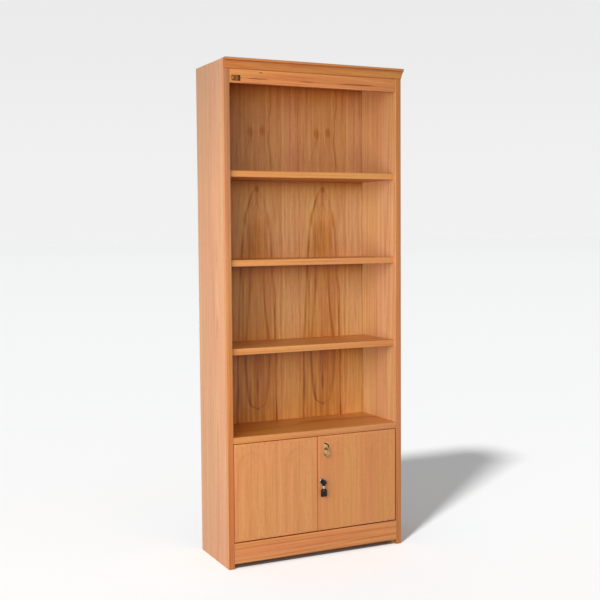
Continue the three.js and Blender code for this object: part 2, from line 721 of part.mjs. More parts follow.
// What turns in the lock: plug, cam, screw and key, about the lock's axis
function lockCore(lock, tail) {
  const plugFace = -BEZEL_THICKNESS - FIT;
  const tangEnd = tail + CAM_CLEARANCE + CAM_THICKNESS + FIT;
  const keyway = slab(
    around(0, KEY_THICKNESS + 2 * FIT),
    [plugFace - OVERRUN, KEY_BLADE_LENGTH + FIT],
    around(0, KEY_BLADE_WIDTH + 2 * FIT),
  );
  const plug = cut(
    join(
      rod("y", PLUG_RADIUS, [plugFace, tail], [0, 0]),
      slab(around(0, TANG_SIDE), [tail - FIT, tangEnd], around(0, TANG_SIDE)),
    ),
    keyway,
    rod("y", CAM_SCREW_RADIUS + FIT, [tangEnd - CAM_SCREW_DEPTH - FIT, tangEnd + OVERRUN], [0, 0]),
  );
  add(lock, "lock_plug", plug, "chrome");

  const camDepth = [tail + CAM_CLEARANCE, tail + CAM_CLEARANCE + CAM_THICKNESS];
  const camOutline = [
    ...arc([0, 0], CAM_ROOT_RADIUS, Math.PI, 2 * Math.PI, ROUND_STEPS / 2),
    ...arc([0, CAM_REACH - CAM_TIP_RADIUS], CAM_TIP_RADIUS, 0, Math.PI, ROUND_STEPS / 2),
  ];
  const square = around(0, TANG_SIDE + 2 * FIT);
  add(lock, "lock_cam", prism("y", camOutline, camDepth, [rectangle(square, square)]), "steel");

  const headStart = tangEnd + FIT;
  const screw = [
    [0, tangEnd - CAM_SCREW_DEPTH],
    [CAM_SCREW_RADIUS, tangEnd - CAM_SCREW_DEPTH],
    [CAM_SCREW_RADIUS, headStart],
    [CAM_SCREW_HEAD_RADIUS, headStart],
    [CAM_SCREW_HEAD_RADIUS, headStart + CAM_SCREW_HEAD],
    [0, headStart + CAM_SCREW_HEAD],
  ];
  add(lock, "cam_screw", turned("y", screw, [0, 0]), "steel");

  add(lock, "key_shank", keyShank(plugFace), "steel");
  const pin = rod("x", KEY_PIN_RADIUS, around(0, BOW_CHEEK_WIDTH), [0, 0]);
  add(lock, "key_pin", pin, "steel").position.set(0, -KEY_PIVOT_REACH, 0);
  add(lock, "key_bow", keyBow(), "black").position.set(0, -KEY_PIVOT_REACH, 0);
}

// The key's flat: blade in the plug, a shoulder outside it, and a round eye for the bow's pin
function keyShank(plugFace) {
  const shoulder = plugFace - FIT;
  const shoulderEnd = shoulder - KEY_SHOULDER_LENGTH;
  const blade = KEY_BLADE_WIDTH / 2;
  const stop = KEY_SHOULDER_WIDTH / 2;
  const eye = arc([-KEY_PIVOT_REACH, 0], KEY_EYE_RADIUS, Math.PI / 2, (3 * Math.PI) / 2, ROUND_STEPS / 2);
  const outline = [
    [KEY_BLADE_LENGTH, -blade],
    [KEY_BLADE_LENGTH, blade],
    [shoulder, blade],
    [shoulder, stop],
    [shoulderEnd, stop],
    [shoulderEnd, KEY_EYE_RADIUS],
    ...eye,
    [shoulderEnd, -KEY_EYE_RADIUS],
    [shoulderEnd, -stop],
    [shoulder, -stop],
    [shoulder, -blade],
  ];
  const hole = circle([-KEY_PIVOT_REACH, 0], KEY_PIN_RADIUS + FIT);
  return prism("x", outline, around(0, KEY_THICKNESS), [hole]);
}

// The bow hangs from its pin: two cheeks, a neck, and a flat bell with a slot
function keyBow() {
  const half = BOW_OUTLINE_shares.map(([across, down]) => [
    (across * BOW_WIDTH) / 2,
    -down * BOW_LENGTH,
  ]);
  const slot = rectangle(around(0, BOW_SLOT_WIDTH), around(-BOW_SLOT_DROP, BOW_SLOT_HEIGHT));
  const plate = prism("y", mirrored(half), around(0, BOW_THICKNESS), [slot]);
  const cheeks = rod("x", BOW_CHEEK_RADIUS, around(0, BOW_CHEEK_WIDTH), [0, 0]);
  const forkReach = BOW_CHEEK_RADIUS + OVERRUN;
  const fork = slab(
    around(0, KEY_THICKNESS + 2 * FIT),
    [-forkReach, forkReach],
    [-BOW_FORK_DEPTH, forkReach],
  );
  const pinHole = rod("x", KEY_PIN_RADIUS + FIT, around(0, BOW_CHEEK_WIDTH + OVERRUN), [0, 0]);
  return cut(join(plate, cheeks), fork, pinHole);
}

// The bare plate on the frieze and its two pins
function blankPlate() {
  const group = new THREE.Group();
  const face = front + FRIEZE_SETBACK;
  const centreX = -innerFace + BLANK_CENTRE_INSET;
  const centreZ = friezeBottom + BLANK_CENTRE_RISE;
  const outline = rectangle(around(centreX, BLANK_WIDTH), around(centreZ, BLANK_HEIGHT));
  const depth = [face - BLANK_THICKNESS, face];
  const pinX = [-1, 1].map((side) => centreX + side * (BLANK_WIDTH / 2 - BLANK_PIN_INSET));
  const holes = pinX.map((x) => circle([x, centreZ], BLANK_PIN_SHANK_RADIUS + FIT));
  add(group, "blank_plate", prism("y", outline, depth, holes), "brass");
  ["left", "right"].forEach((label, i) => {
    const seat = depth[0] - FIT;
    const end = seat + BLANK_THICKNESS;
    const pin = [
      [0, seat - BLANK_PIN_DOME],
      [BLANK_PIN_RADIUS / 2, seat - BLANK_PIN_DOME],
      [BLANK_PIN_RADIUS, seat],
      [BLANK_PIN_SHANK_RADIUS, seat],
      [BLANK_PIN_SHANK_RADIUS, end],
      [0, end],
    ];
    add(group, `plate_pin_${label}`, turned("y", pin, [pinX[i], centreZ]), "brass");
  });
  return group;
}

const bookcase = new THREE.Group();
bookcase.add(carcass(), base(), blankPlate());
bookcase.add(hingeFrames(-1, "left"), hingeFrames(1, "right"));
add(bookcase, "bolt_keeper", keeper(), "steel");
const leftDoor = door(-1, "left");
const rightDoor = door(1, "right");
leftDoorFittings(leftDoor);
rightDoorFittings(rightDoor);
bookcase.add(leftDoor, rightDoor);

export default bookcase;
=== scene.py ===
"""Looks for a tall bookcase: three open shelves over a low cabinet with two inset doors.

Metres, +Z up, the front towards -Y. The origin is on the floor, under the middle of the piece.
"""

import json
import math

import bmesh
import bpy
from mathutils import Matrix, Vector


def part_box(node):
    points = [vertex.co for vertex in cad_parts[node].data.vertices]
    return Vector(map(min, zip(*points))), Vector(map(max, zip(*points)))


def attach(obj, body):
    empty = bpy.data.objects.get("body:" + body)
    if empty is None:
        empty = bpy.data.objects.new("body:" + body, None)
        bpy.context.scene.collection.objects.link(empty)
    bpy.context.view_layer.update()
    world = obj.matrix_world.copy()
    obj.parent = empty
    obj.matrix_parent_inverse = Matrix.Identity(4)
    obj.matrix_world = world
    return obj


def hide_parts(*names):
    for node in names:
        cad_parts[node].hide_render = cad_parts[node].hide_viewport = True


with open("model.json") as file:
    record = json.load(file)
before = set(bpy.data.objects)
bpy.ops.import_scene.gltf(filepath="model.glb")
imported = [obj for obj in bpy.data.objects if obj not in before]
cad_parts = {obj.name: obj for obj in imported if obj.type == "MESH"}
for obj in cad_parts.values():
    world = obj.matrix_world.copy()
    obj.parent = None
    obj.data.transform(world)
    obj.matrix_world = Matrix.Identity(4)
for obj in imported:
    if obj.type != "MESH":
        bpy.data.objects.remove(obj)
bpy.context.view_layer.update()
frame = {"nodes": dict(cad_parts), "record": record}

X, Y, Z = 0, 1, 2
NODES = frame["nodes"]
BODY_OF = {
    node: body for body, nodes in frame["record"]["behaviour"]["bodies"].items() for node in nodes
}
SLOT_OF = {part["node"]: part["material_slot"] for part in frame["record"]["subparts"]}

# Camera, as it stood for the photograph
CAMERA_PLACE = Vector((-1.8692, -3.8898, 1.3302))
CAMERA_YAW = 0.446
CAMERA_PITCH = 0.0652
CAMERA_ROLL = -0.0073
CAMERA_LENS = 62.25
CAMERA_SENSOR = 36.0
CAMERA_CLIP = 400.0


def linear(red, green, blue):
    """The linear colour of an 8-bit display colour."""
    shares = [value / 255 for value in (red, green, blue)]
    return tuple(
        share / 12.92 if share <= 0.04045 else ((share + 0.055) / 1.055) ** 2.4 for share in shares
    )


def in_scene(name, data):
    """A new object of the scene."""
    made = bpy.data.objects.new(name, data)
    bpy.context.scene.collection.objects.link(made)
    return made


def make_camera():
    forward = Vector((
        math.sin(CAMERA_YAW) * math.cos(CAMERA_PITCH),
        math.cos(CAMERA_YAW) * math.cos(CAMERA_PITCH),
        -math.sin(CAMERA_PITCH),
    ))
    level = Vector((math.cos(CAMERA_YAW), -math.sin(CAMERA_YAW), 0))
    upright = level.cross(forward)
    right = math.cos(CAMERA_ROLL) * level + math.sin(CAMERA_ROLL) * upright
    up = -math.sin(CAMERA_ROLL) * level + math.cos(CAMERA_ROLL) * upright
    data = bpy.data.cameras.new("camera")
    data.lens = CAMERA_LENS
    data.sensor_width = CAMERA_SENSOR
    data.clip_end = CAMERA_CLIP
    camera = in_scene("camera", data)
    turn = Matrix((right, up, -forward)).transposed().to_4x4()
    camera.matrix_world = Matrix.Translation(CAMERA_PLACE) @ turn
    bpy.context.scene.camera = camera


class Graph:
    """Adds nodes to one tree and links them."""

    def __init__(self, tree):
        self.tree = tree

    def node(self, kind, inputs=None, **settings):
        made = self.tree.nodes.new(kind)
        for name, value in settings.items():
            setattr(made, name, value)
        for name, value in (inputs or {}).items():
            self.feed(made.inputs[name], value)
        return made

    def feed(self, socket, value):
        if isinstance(value, bpy.types.NodeSocket):
            self.tree.links.new(value, socket)
        elif socket.type == "RGBA" and len(value) == 3:
            socket.default_value = (*value, 1.0)
        else:
            socket.default_value = value

    def math(self, operation, *values):
        return self.node("ShaderNodeMath", dict(enumerate(values)), operation=operation).outputs[0]

    def add(self, *values):
        total = values[0]
        for value in values[1:]:
            total = self.math("ADD", total, value)
        return total

    def times(self, a, b):
        return self.math("MULTIPLY", a, b)

    def size(self, value):
        return self.math("ABSOLUTE", value)

    def fit(self, value, low, high, to_low=0.0, to_high=1.0, smooth=True):
        """Turns low..high into to_low..to_high and holds it there."""
        return self.node(
            "ShaderNodeMapRange",
            {"Value": value, "From Min": low, "From Max": high, "To Min": to_low,
             "To Max": to_high},
            interpolation_type="SMOOTHSTEP" if smooth else "LINEAR",
        ).outputs["Result"]

    def vector(self, x, y, z):
        return self.node("ShaderNodeCombineXYZ", {"X": x, "Y": y, "Z": z}).outputs[0]

    def swing(self, noise, share):
        """A noise from 0 to 1, turned to swing about zero."""
        return self.times(self.add(noise, -0.5), share)

    def scaled(self, vector, scale):
        made = self.node("ShaderNodeVectorMath", {0: vector, "Scale": scale}, operation="SCALE")
        return made.outputs[0]

    def noise(self, place, detail=2.0, roughness=0.5, line=False):
        """A noise from 0 to 1, by a point or by how far along a line it lies."""
        return self.node(
            "ShaderNodeTexNoise",
            {"W" if line else "Vector": place, "Scale": 1.0, "Detail": detail,
             "Roughness": roughness},
            noise_dimensions="1D" if line else "3D",
        ).outputs["Fac"]

    def ramp(self, value, stops):
        made = self.node("ShaderNodeValToRGB", {"Fac": value})
        elements = made.color_ramp.elements
        while len(elements) < len(stops):
            elements.new(0.5)
        for element, (place, colour) in zip(elements, stops):
            element.position = place
            element.color = (*colour, 1.0)
        return made.outputs["Color"]

    def mix(self, share, a, b, blend="MIX"):
        return self.node(
            "ShaderNodeMix", {0: share, 6: a, 7: b}, data_type="RGBA", blend_type=blend
        ).outputs[2]

    def multiply(self, colour, tone, share=1.0):
        return self.mix(share, colour, tone, "MULTIPLY")

    def position(self, coords):
        """The x, y and z of a point or direction."""
        return self.node("ShaderNodeSeparateXYZ", {"Vector": coords}).outputs

    def output(self, kind, surface):
        self.node(kind, {"Surface": surface})

    def seen_directly(self):
        """1 for what the camera sees, also in a reflection or through glass, and 0 elsewhere."""
        path = self.node("ShaderNodeLightPath").outputs
        rays = [path[f"Is {kind} Ray"] for kind in ("Camera", "Glossy", "Transmission")]
        return self.math("MINIMUM", self.add(*rays), 1.0)


def empty_tree(owner):
    """The graph of a material or world whose nodes have been cleared."""
    owner.use_nodes = True
    owner.node_tree.nodes.clear()
    return Graph(owner.node_tree)


def set_surface(graph, shader, colour, roughness, height, relief):
    """Feeds a surface shader with its colour, roughness and fine relief."""
    strength, depth = relief
    bump = graph.node("ShaderNodeBump", {"Strength": strength, "Distance": depth, "Height": height})
    graph.feed(shader.inputs["Base Color"], colour)
    graph.feed(shader.inputs["Roughness"], roughness)
    graph.feed(shader.inputs["Normal"], bump.outputs["Normal"])


def new_material(name):
    """A material with an empty tree, its graph and its surface shader."""
    material = bpy.data.materials.new(name)
    graph = empty_tree(material)
    shader = graph.node("ShaderNodeBsdfPrincipled")
    graph.output("ShaderNodeOutputMaterial", shader.outputs[0])
    return material, graph, shader


def tone_ramp(graph, value, stops):
    """A colour that follows a list of (place, tone)."""
    low, high = stops[0][0], stops[-1][0]
    share = graph.fit(value, low, high, smooth=False)
    return graph.ramp(share, [((place - low) / (high - low), tone) for place, tone in stops])


# Wood tones, from the palest latewood to the darkest vessel lines
WOOD_STOPS = [
    (0.0, linear(228, 172, 124)),
    (0.35, linear(216, 153, 103)),
    (0.62, linear(198, 130, 80)),
    (0.85, linear(172, 103, 57)),
    (1.0, linear(138, 78, 40)),
]
PINK = linear(255, 222, 214)
YELLOW = linear(255, 238, 205)
HUE_RANGE = (0.36, 0.64)
TINT_SHARE = 0.7
GROWTH_LINE = (1.0, 0.9, 0.5)
GROWTH_LINE_RANGE = (0.08, 0.36)
PORE_COLOUR = linear(120, 72, 40)
PORE_SHARE = 0.35
PORE_RANGE = (0.6, 0.74)
END_GRAIN = linear(190, 170, 150)
END_GRAIN_SHARE = 0.8
END_GRAIN_RANGE = (0.75, 0.95)

# Noises of the wood: scale across the grain, scale along it, detail and roughness
GRAIN_NOISES = {
    "sway": (5.0, 0.8, 2.0, 0.5),
    "broad": (7.0, 0.9, 1.5, 0.5),
    "streak": (95.0, 1.9, 4.0, 0.62),
    "fibre": (420.0, 7.0, 2.0, 0.6),
    "dash": (85.0, 8.0, 1.5, 0.5),
    "pore": (950.0, 30.0, 1.0, 0.5),
    "hue": (11.0, 1.3, 2.0, 0.5),
}
HUE_SHIFT = 40.0
SEED_STEP = 3.7

# How much each noise darkens the wood, on a mean darkness
MEAN_DARKNESS = 0.36
STREAK_SHARE = 1.1
FIBRE_SHARE = 0.3
BROAD_SHARE = 0.45

# Wander of the growth rings: reach in metres, and how much of the drift shows across
RING_SWAY = 0.05
DRIFT_ACROSS = 0.4

# Relief, as the strength and depth of its bumps, and gloss of the lacquer
WOOD_RELIEF = (0.5, 0.00012)
PORE_DEPTH, FIBRE_HEIGHT, STREAK_HEIGHT = -0.7, 0.35, 0.2
WOOD_ROUGHNESS = 0.34
FIBRE_ROUGHNESS, PORE_ROUGHNESS, END_ROUGHNESS = 0.12, 0.12, 0.2
LACQUER = {"IOR": 1.5, "Coat Weight": 0.12, "Coat Roughness": 0.3}


# The share of a soft spot's radius that has its full strength
SPOT_CORE = 0.35


def blob(graph, across, along, spots):
    """Soft dark spots: each has a centre, a half width and half height, and a strength."""
    total = 0.0
    for centre_across, centre_along, half_width, half_height, strength in spots:
        u = graph.times(graph.add(across, -centre_across), 1 / half_width)
        w = graph.times(graph.add(along, -centre_along), 1 / half_height)
        away = graph.math("SQRT", graph.add(graph.times(u, u), graph.times(w, w)))
        total = graph.add(total, graph.fit(away, SPOT_CORE, 1.0, strength, 0.0))
    return total


def grain_noise(graph, kind, point, *shifts):
    """A noise drawn out along the grain; point is its place across, in depth and along."""
    scale, scale_along, detail, roughness = GRAIN_NOISES[kind]
    across, depth, along = point
    stretched = graph.vector(
        graph.add(graph.times(across, scale), *shifts),
        graph.times(depth, scale),
        graph.times(along, scale_along),
    )
    return graph.noise(stretched, detail, roughness)


def ring_distance(graph, point, seed, pith, slope):
    """How far a point lies from the heart of the log."""
    across, depth, along = point
    sway = graph.swing(grain_noise(graph, "sway", point, seed), RING_SWAY)
    drift = graph.times(along, slope)
    side = graph.add(across, sway, -pith[0], graph.times(drift, DRIFT_ACROSS))
    down = graph.add(depth, -pith[1], drift)
    return graph.math("SQRT", graph.add(graph.times(side, side), graph.times(down, down)))


def wood(name, grain, seed, tone=(1.0, 1.0, 1.0), pith=(0.5, -0.12), slope=0.03, figure=None,
         rings=190.0, contrast=1.0, ring_share=1.25, spots=(), dot=None, wisps=0.0, paint=None):
    """Lacquered hardwood whose grain runs along one axis.

    pith is where the heart of the log lies across the grain, from the board's own middle, and
    slope is how fast it drifts along it, which draws the long pointed arches of a flat cut.
    figure gives the slip-matched leaves of a face veneer in place of the pith, and wisps its short
    pale and dark dashes. paint changes the colour by place and by the way a face looks, and mostly
    paints shade and light on.
    """
    material, graph, shader = new_material(name)
    coords = graph.node("ShaderNodeTexCoord").outputs
    place = graph.position(coords["Object"])
    along = place[grain]
    across, depth = place[Z if grain == X else X], place[Y]
    leaf, lines = 0.0, 0.0
    if figure:
        across, leaf, ring_radius, lines = leaves(graph, across, along, seed, figure)
    point = (across, depth, along)
    if not figure:
        ring_radius = ring_distance(graph, point, seed, pith, slope)
    start = seed * SEED_STEP
    ring = graph.noise(
        graph.add(graph.times(ring_radius, rings), start), detail=3.0, roughness=0.62, line=True
    )
    streak = grain_noise(graph, "streak", point, start, leaf)
    fibre = grain_noise(graph, "fibre", point, start)
    pore = graph.fit(grain_noise(graph, "pore", point, start), *PORE_RANGE)
    dark = graph.add(
        graph.swing(ring, ring_share * contrast),
        graph.swing(streak, STREAK_SHARE * contrast),
        graph.swing(fibre, FIBRE_SHARE),
        graph.swing(grain_noise(graph, "dash", point, start, leaf), wisps),
        graph.swing(grain_noise(graph, "broad", point, start, leaf), BROAD_SHARE),
        lines,
        blob(graph, across, along, spots),
        MEAN_DARKNESS,
    )
    dark = graph.math("MAXIMUM", graph.math("MINIMUM", dark, 1.0), 0.0)
    hue_noise = grain_noise(graph, "hue", point, start, HUE_SHIFT)
    tint = graph.mix(graph.fit(hue_noise, *HUE_RANGE), PINK, YELLOW)
    colour = graph.multiply(graph.ramp(dark, WOOD_STOPS), tint, TINT_SHARE)
    if figure:
        shown = graph.fit(lines, *GROWTH_LINE_RANGE)
        colour = graph.multiply(colour, GROWTH_LINE, shown)
    colour = graph.mix(graph.times(pore, PORE_SHARE), colour, PORE_COLOUR)
    colour = graph.multiply(colour, tone)
    facing = graph.position(coords["Normal"])
    end = graph.fit(graph.size(facing[grain]), *END_GRAIN_RANGE)
    colour = graph.multiply(colour, END_GRAIN, graph.times(end, END_GRAIN_SHARE))
    if dot:
        colour = plug_spot(graph, coords["Object"], colour, dot)
    if paint:
        colour = paint(graph, place, facing, colour)
    height = graph.add(
        graph.times(pore, PORE_DEPTH),
        graph.times(fibre, FIBRE_HEIGHT),
        graph.times(streak, STREAK_HEIGHT),
    )
    roughness = graph.add(
        WOOD_ROUGHNESS,
        graph.times(fibre, FIBRE_ROUGHNESS),
        graph.times(pore, PORE_ROUGHNESS),
        graph.times(end, END_ROUGHNESS),
    )
    set_surface(graph, shader, colour, roughness, height, WOOD_RELIEF)
    for socket, value in LACQUER.items():
        shader.inputs[socket].default_value = value
    return material


# The widest half width that a contour of the figure can have
PROFILE_REACH = 0.12


def profile(graph, along, stops):
    """A half width that follows a list of (height, half width)."""
    shares = [(place, (width / PROFILE_REACH,) * 3) for place, width in stops]
    return graph.times(tone_ramp(graph, along, shares), PROFILE_REACH)


# How each leaf's noise shifts from the last, and the scales of its sway and fading
LEAF_SHIFT = 0.13
LEAF_NOISE_ACROSS = 9.0
LEAF_SWAY_ALONG = 3.0
FADE_ALONG = 5.0
FADE_SHIFT = 5.0
FADE_RANGE = (0.36, 0.62)
FADE_STRENGTH = (0.4, 1.15)

# How softly a contour's fill and ends, a stream's ends and the seam run out, in metres
FILL_FADE = 0.014
CONTOUR_END = 0.012
STREAM_END = 0.03
SEAM_FROM, SEAM_FULL = 0.0015, 0.0005
SEAM_STRENGTH = 0.12

# How a stream wanders
WOBBLE_ALONG = 6.0
WOBBLE_SHIFT = 7.0
WOBBLE_REACH = 0.02

# The filled hole in the left side
PLUG_COLOUR = linear(128, 76, 46)
PLUG_CORE = 0.7
PLUG_SHARE = 0.75


def leaves(graph, across, along, seed, figure):
    """Places a point in its slip-matched leaf, and draws the figure's growth lines there."""
    pitch = figure["pitch"]
    shifted = graph.times(graph.add(across, pitch / 2 - figure["first"]), 1 / pitch)
    number = graph.math("FLOOR", shifted)
    local = graph.times(graph.add(graph.math("FRACT", shifted), -0.5), pitch)
    leaf = graph.times(number, LEAF_SHIFT)
    along_leaf = graph.add(graph.times(local, LEAF_NOISE_ACROSS), seed)
    sway = graph.noise(
        graph.vector(along_leaf, leaf, graph.times(along, LEAF_SWAY_ALONG)), detail=2.5
    )
    bent = graph.add(local, graph.swing(sway, figure["sway"]))
    from_heart = graph.size(bent)
    lines = 0.0
    radius = None
    for order, (stops, width, strength, fill) in enumerate(figure["contours"]):
        inside = graph.add(profile(graph, along, stops), graph.times(from_heart, -1.0))
        if radius is None:
            radius = graph.add(PROFILE_REACH, graph.times(inside, -1.0))
        mark = graph.fit(graph.size(inside), 0.0, width, strength, 0.0)
        fade = graph.noise(
            graph.vector(
                graph.add(graph.times(local, LEAF_NOISE_ACROSS), order * FADE_SHIFT),
                leaf,
                graph.times(along, FADE_ALONG),
            ), detail=1.0,
        )
        mark = graph.times(mark, graph.fit(fade, *FADE_RANGE, *FADE_STRENGTH))
        filled = graph.fit(inside, 0.0, FILL_FADE, 0.0, fill)
        foot, tip = stops[0][0], stops[-1][0]
        reach = graph.times(
            graph.fit(along, foot - CONTOUR_END, foot),
            graph.fit(along, tip, tip + CONTOUR_END, 1.0, 0.0),
        )
        lines = graph.add(lines, graph.times(graph.add(mark, filled), reach))
    for order, (line, low, high, width, strength) in enumerate(figure["streams"]):
        wobble = graph.noise(
            graph.add(graph.times(along, WOBBLE_ALONG), order * WOBBLE_SHIFT + seed), line=True
        )
        path = graph.add(bent, graph.swing(wobble, WOBBLE_REACH), -line)
        mark = graph.fit(graph.size(path), 0.0, width, strength, 0.0)
        reach = graph.times(
            graph.fit(along, low - STREAM_END, low + STREAM_END),
            graph.fit(along, high - STREAM_END, high + STREAM_END, 1.0, 0.0),
        )
        lines = graph.add(lines, graph.times(mark, reach))
    half = pitch / 2
    seam = graph.fit(graph.size(local), half - SEAM_FROM, half - SEAM_FULL, 0.0, SEAM_STRENGTH)
    lines = graph.add(lines, seam, blob(graph, bent, along, figure["spots"]))
    return local, leaf, radius, lines


def plug_spot(graph, coords, colour, dot):
    """A small filled hole in a face."""
    centre, radius = dot
    away = graph.node("ShaderNodeVectorMath", {0: coords, 1: centre}, operation="DISTANCE")
    mark = graph.fit(away.outputs["Value"], radius * PLUG_CORE, radius, PLUG_SHARE, 0.0)
    return graph.mix(mark, colour, PLUG_COLOUR)


# Slip-matched leaves, measured from the heart of each leaf. A contour has its heights with the
# half width at each, a line width, a strength and how dark it is filled. A stream has a place, its
# foot, its tip, a half width and a strength. A strength below zero is paler than the wood.
ARCH = [
    (0.0, 0.096), (0.5, 0.089), (0.9, 0.087), (1.05, 0.077), (1.25, 0.067), (1.34, 0.061),
    (1.404, 0.051), (1.463, 0.032), (1.497, 0.02), (1.516, 0.004),
]
TULIP = [
    (0.582, 0.002), (0.585, 0.018), (0.6, 0.032), (0.64, 0.042), (0.7, 0.05), (0.79, 0.056),
    (0.89, 0.053), (0.97, 0.043), (1.046, 0.036), (1.148, 0.03), (1.21, 0.028),
]
INNER_ARCH = [
    (0.0, 0.08), (0.5, 0.074), (1.0, 0.066), (1.25, 0.05), (1.35, 0.038), (1.42, 0.02),
    (1.45, 0.004),
]
OUTER_ARCH = [
    (0.0, 0.115), (0.5, 0.112), (1.0, 0.108), (1.3, 0.095), (1.5, 0.075), (1.65, 0.05),
    (1.72, 0.028), (1.75, 0.006),
]
BACK_FIGURE = {
    "pitch": 0.31, "first": -0.141, "sway": 0.019,
    "contours": [
        (ARCH, 0.0105, 0.33, 0.1), (TULIP, 0.0095, 0.28, 0.04),
        (INNER_ARCH, 0.005, 0.13, 0.03), (OUTER_ARCH, 0.007, 0.14, 0.03),
    ],
    "streams": [
        (-0.112, 0.0, 2.0, 0.004, 0.2), (0.125, 0.0, 2.0, 0.006, -0.3),
        (-0.141, 0.0, 2.0, 0.004, -0.2), (0.066, 1.59, 2.0, 0.006, 0.26),
        (0.056, 1.59, 2.0, 0.005, -0.2), (0.114, 1.25, 2.0, 0.004, 0.16),
        (-0.06, 1.8, 2.0, 0.004, 0.16), (0.101, 0.0, 1.2, 0.005, -0.22),
        (-0.092, 0.0, 0.86, 0.007, 0.28), (0.084, 0.0, 1.1, 0.007, 0.26),
        (0.14, 0.0, 1.6, 0.004, -0.2), (0.0, 1.34, 1.49, 0.004, 0.14),
        (-0.012, 1.7, 1.79, 0.004, -0.22), (0.014, 1.7, 1.79, 0.004, -0.22),
    ],
    "spots": [
        (-0.024, 1.752, 0.018, 0.03, 0.24), (0.031, 1.758, 0.018, 0.03, 0.22),
        (0.004, 1.755, 0.08, 0.12, 0.14), (0.0, 1.3, 0.06, 0.12, 0.16),
        (0.004, 1.514, 0.014, 0.022, 0.24), (-0.001, 0.675, 0.008, 0.05, 0.22),
        (0.0, 0.78, 0.04, 0.1, 0.08), (-0.055, 1.39, 0.012, 0.05, 0.16),
        (0.055, 1.38, 0.012, 0.05, 0.14),
    ],
}
DOOR_ARCH = [
    (0.0, 0.064), (0.3, 0.062), (0.4, 0.058), (0.432, 0.05), (0.45, 0.034), (0.46, 0.004),
]
DOOR_INNER_ARCH = [(0.0, 0.044), (0.3, 0.042), (0.37, 0.038), (0.405, 0.026), (0.42, 0.003)]
DOOR_LOW_ARCH = [(0.0, 0.024), (0.15, 0.022), (0.22, 0.016), (0.26, 0.003)]
DOOR_FIGURE = {
    "pitch": 0.213, "first": -0.292, "sway": 0.016,
    "contours": [
        (DOOR_ARCH, 0.015, 0.09, 0.02), (DOOR_INNER_ARCH, 0.012, -0.06, 0.0),
        (DOOR_LOW_ARCH, 0.01, -0.08, 0.02),
    ],
    "streams": [(0.088, 0.0, 0.6, 0.005, 0.08), (-0.09, 0.0, 0.6, 0.006, -0.08)],
    "spots": [],
}
RIGHT_DOOR_FIGURE = dict(
    DOOR_FIGURE,
    first=0.094,
    contours=[(DOOR_ARCH, 0.015, 0.07, 0.02), (DOOR_INNER_ARCH, 0.012, 0.04, 0.0)],
)


# Tarnish lies where a broad noise is high; the dark marks, which on the pull are painted shade, are
# duller than the metal round them
CLOUD_SCALE = 0.3
TARNISH_RANGE = (0.36, 0.68)
DARK_MARK_COLOUR = linear(92, 44, 12)
DARK_MARK_ROUGHNESS = 0.25
METAL_RELIEF = (0.25, 0.00005)
METAL_GRAIN = 260.0

PLASTIC_GRAIN = 1600.0
PLASTIC_PALE = 1.6
PLASTIC_PIT_RANGE = (0.3, 0.7)
PLASTIC_SPREAD = 0.06
PLASTIC_RELIEF = (0.3, 0.00006)
PLASTIC_SPECULAR = 0.28


def metal(name, colour, roughness, patina, spread=0.12, dark_marks=(), clouds=1.0):
    """Worked metal with fine marks and a darker tarnish in clouds, and dull dark marks where it has
    any, such as painted shade.

    A dark mark is a place across, a height, a half width, a half height and a strength, seen from
    the front.
    """
    material, graph, shader = new_material(name)
    coords = graph.node("ShaderNodeTexCoord").outputs["Object"]
    marks = graph.noise(graph.scaled(coords, METAL_GRAIN), detail=4.0, roughness=0.65)
    cloud = graph.noise(graph.scaled(coords, METAL_GRAIN * CLOUD_SCALE))
    tarnish = graph.fit(cloud, *TARNISH_RANGE, 0.0, clouds)
    shade = graph.mix(tarnish, colour, patina)
    worn = graph.add(roughness - spread / 2, graph.times(marks, spread))
    if dark_marks:
        place = graph.position(coords)
        dark_share = graph.math("MINIMUM", blob(graph, place[X], place[Z], dark_marks), 1.0)
        shade = graph.mix(dark_share, shade, DARK_MARK_COLOUR)
        worn = graph.add(worn, graph.times(dark_share, DARK_MARK_ROUGHNESS))
    set_surface(graph, shader, shade, worn, marks, METAL_RELIEF)
    shader.inputs["Metallic"].default_value = 1.0
    return material


def plastic(name, colour, roughness):
    """Moulded plastic with a fine spark-eroded grain."""
    material, graph, shader = new_material(name)
    coords = graph.node("ShaderNodeTexCoord").outputs["Object"]
    pits = graph.noise(graph.scaled(coords, PLASTIC_GRAIN))
    pale = tuple(value * PLASTIC_PALE for value in colour)
    shade = graph.mix(graph.fit(pits, *PLASTIC_PIT_RANGE), colour, pale)
    worn = graph.fit(
        pits, *PLASTIC_PIT_RANGE, roughness - PLASTIC_SPREAD, roughness + PLASTIC_SPREAD
    )
    set_surface(graph, shader, shade, worn, pits, PLASTIC_RELIEF)
    shader.inputs["Specular IOR Level"].default_value = PLASTIC_SPECULAR
    return material


BRASS = linear(214, 178, 124)
TARNISH = linear(178, 140, 92)
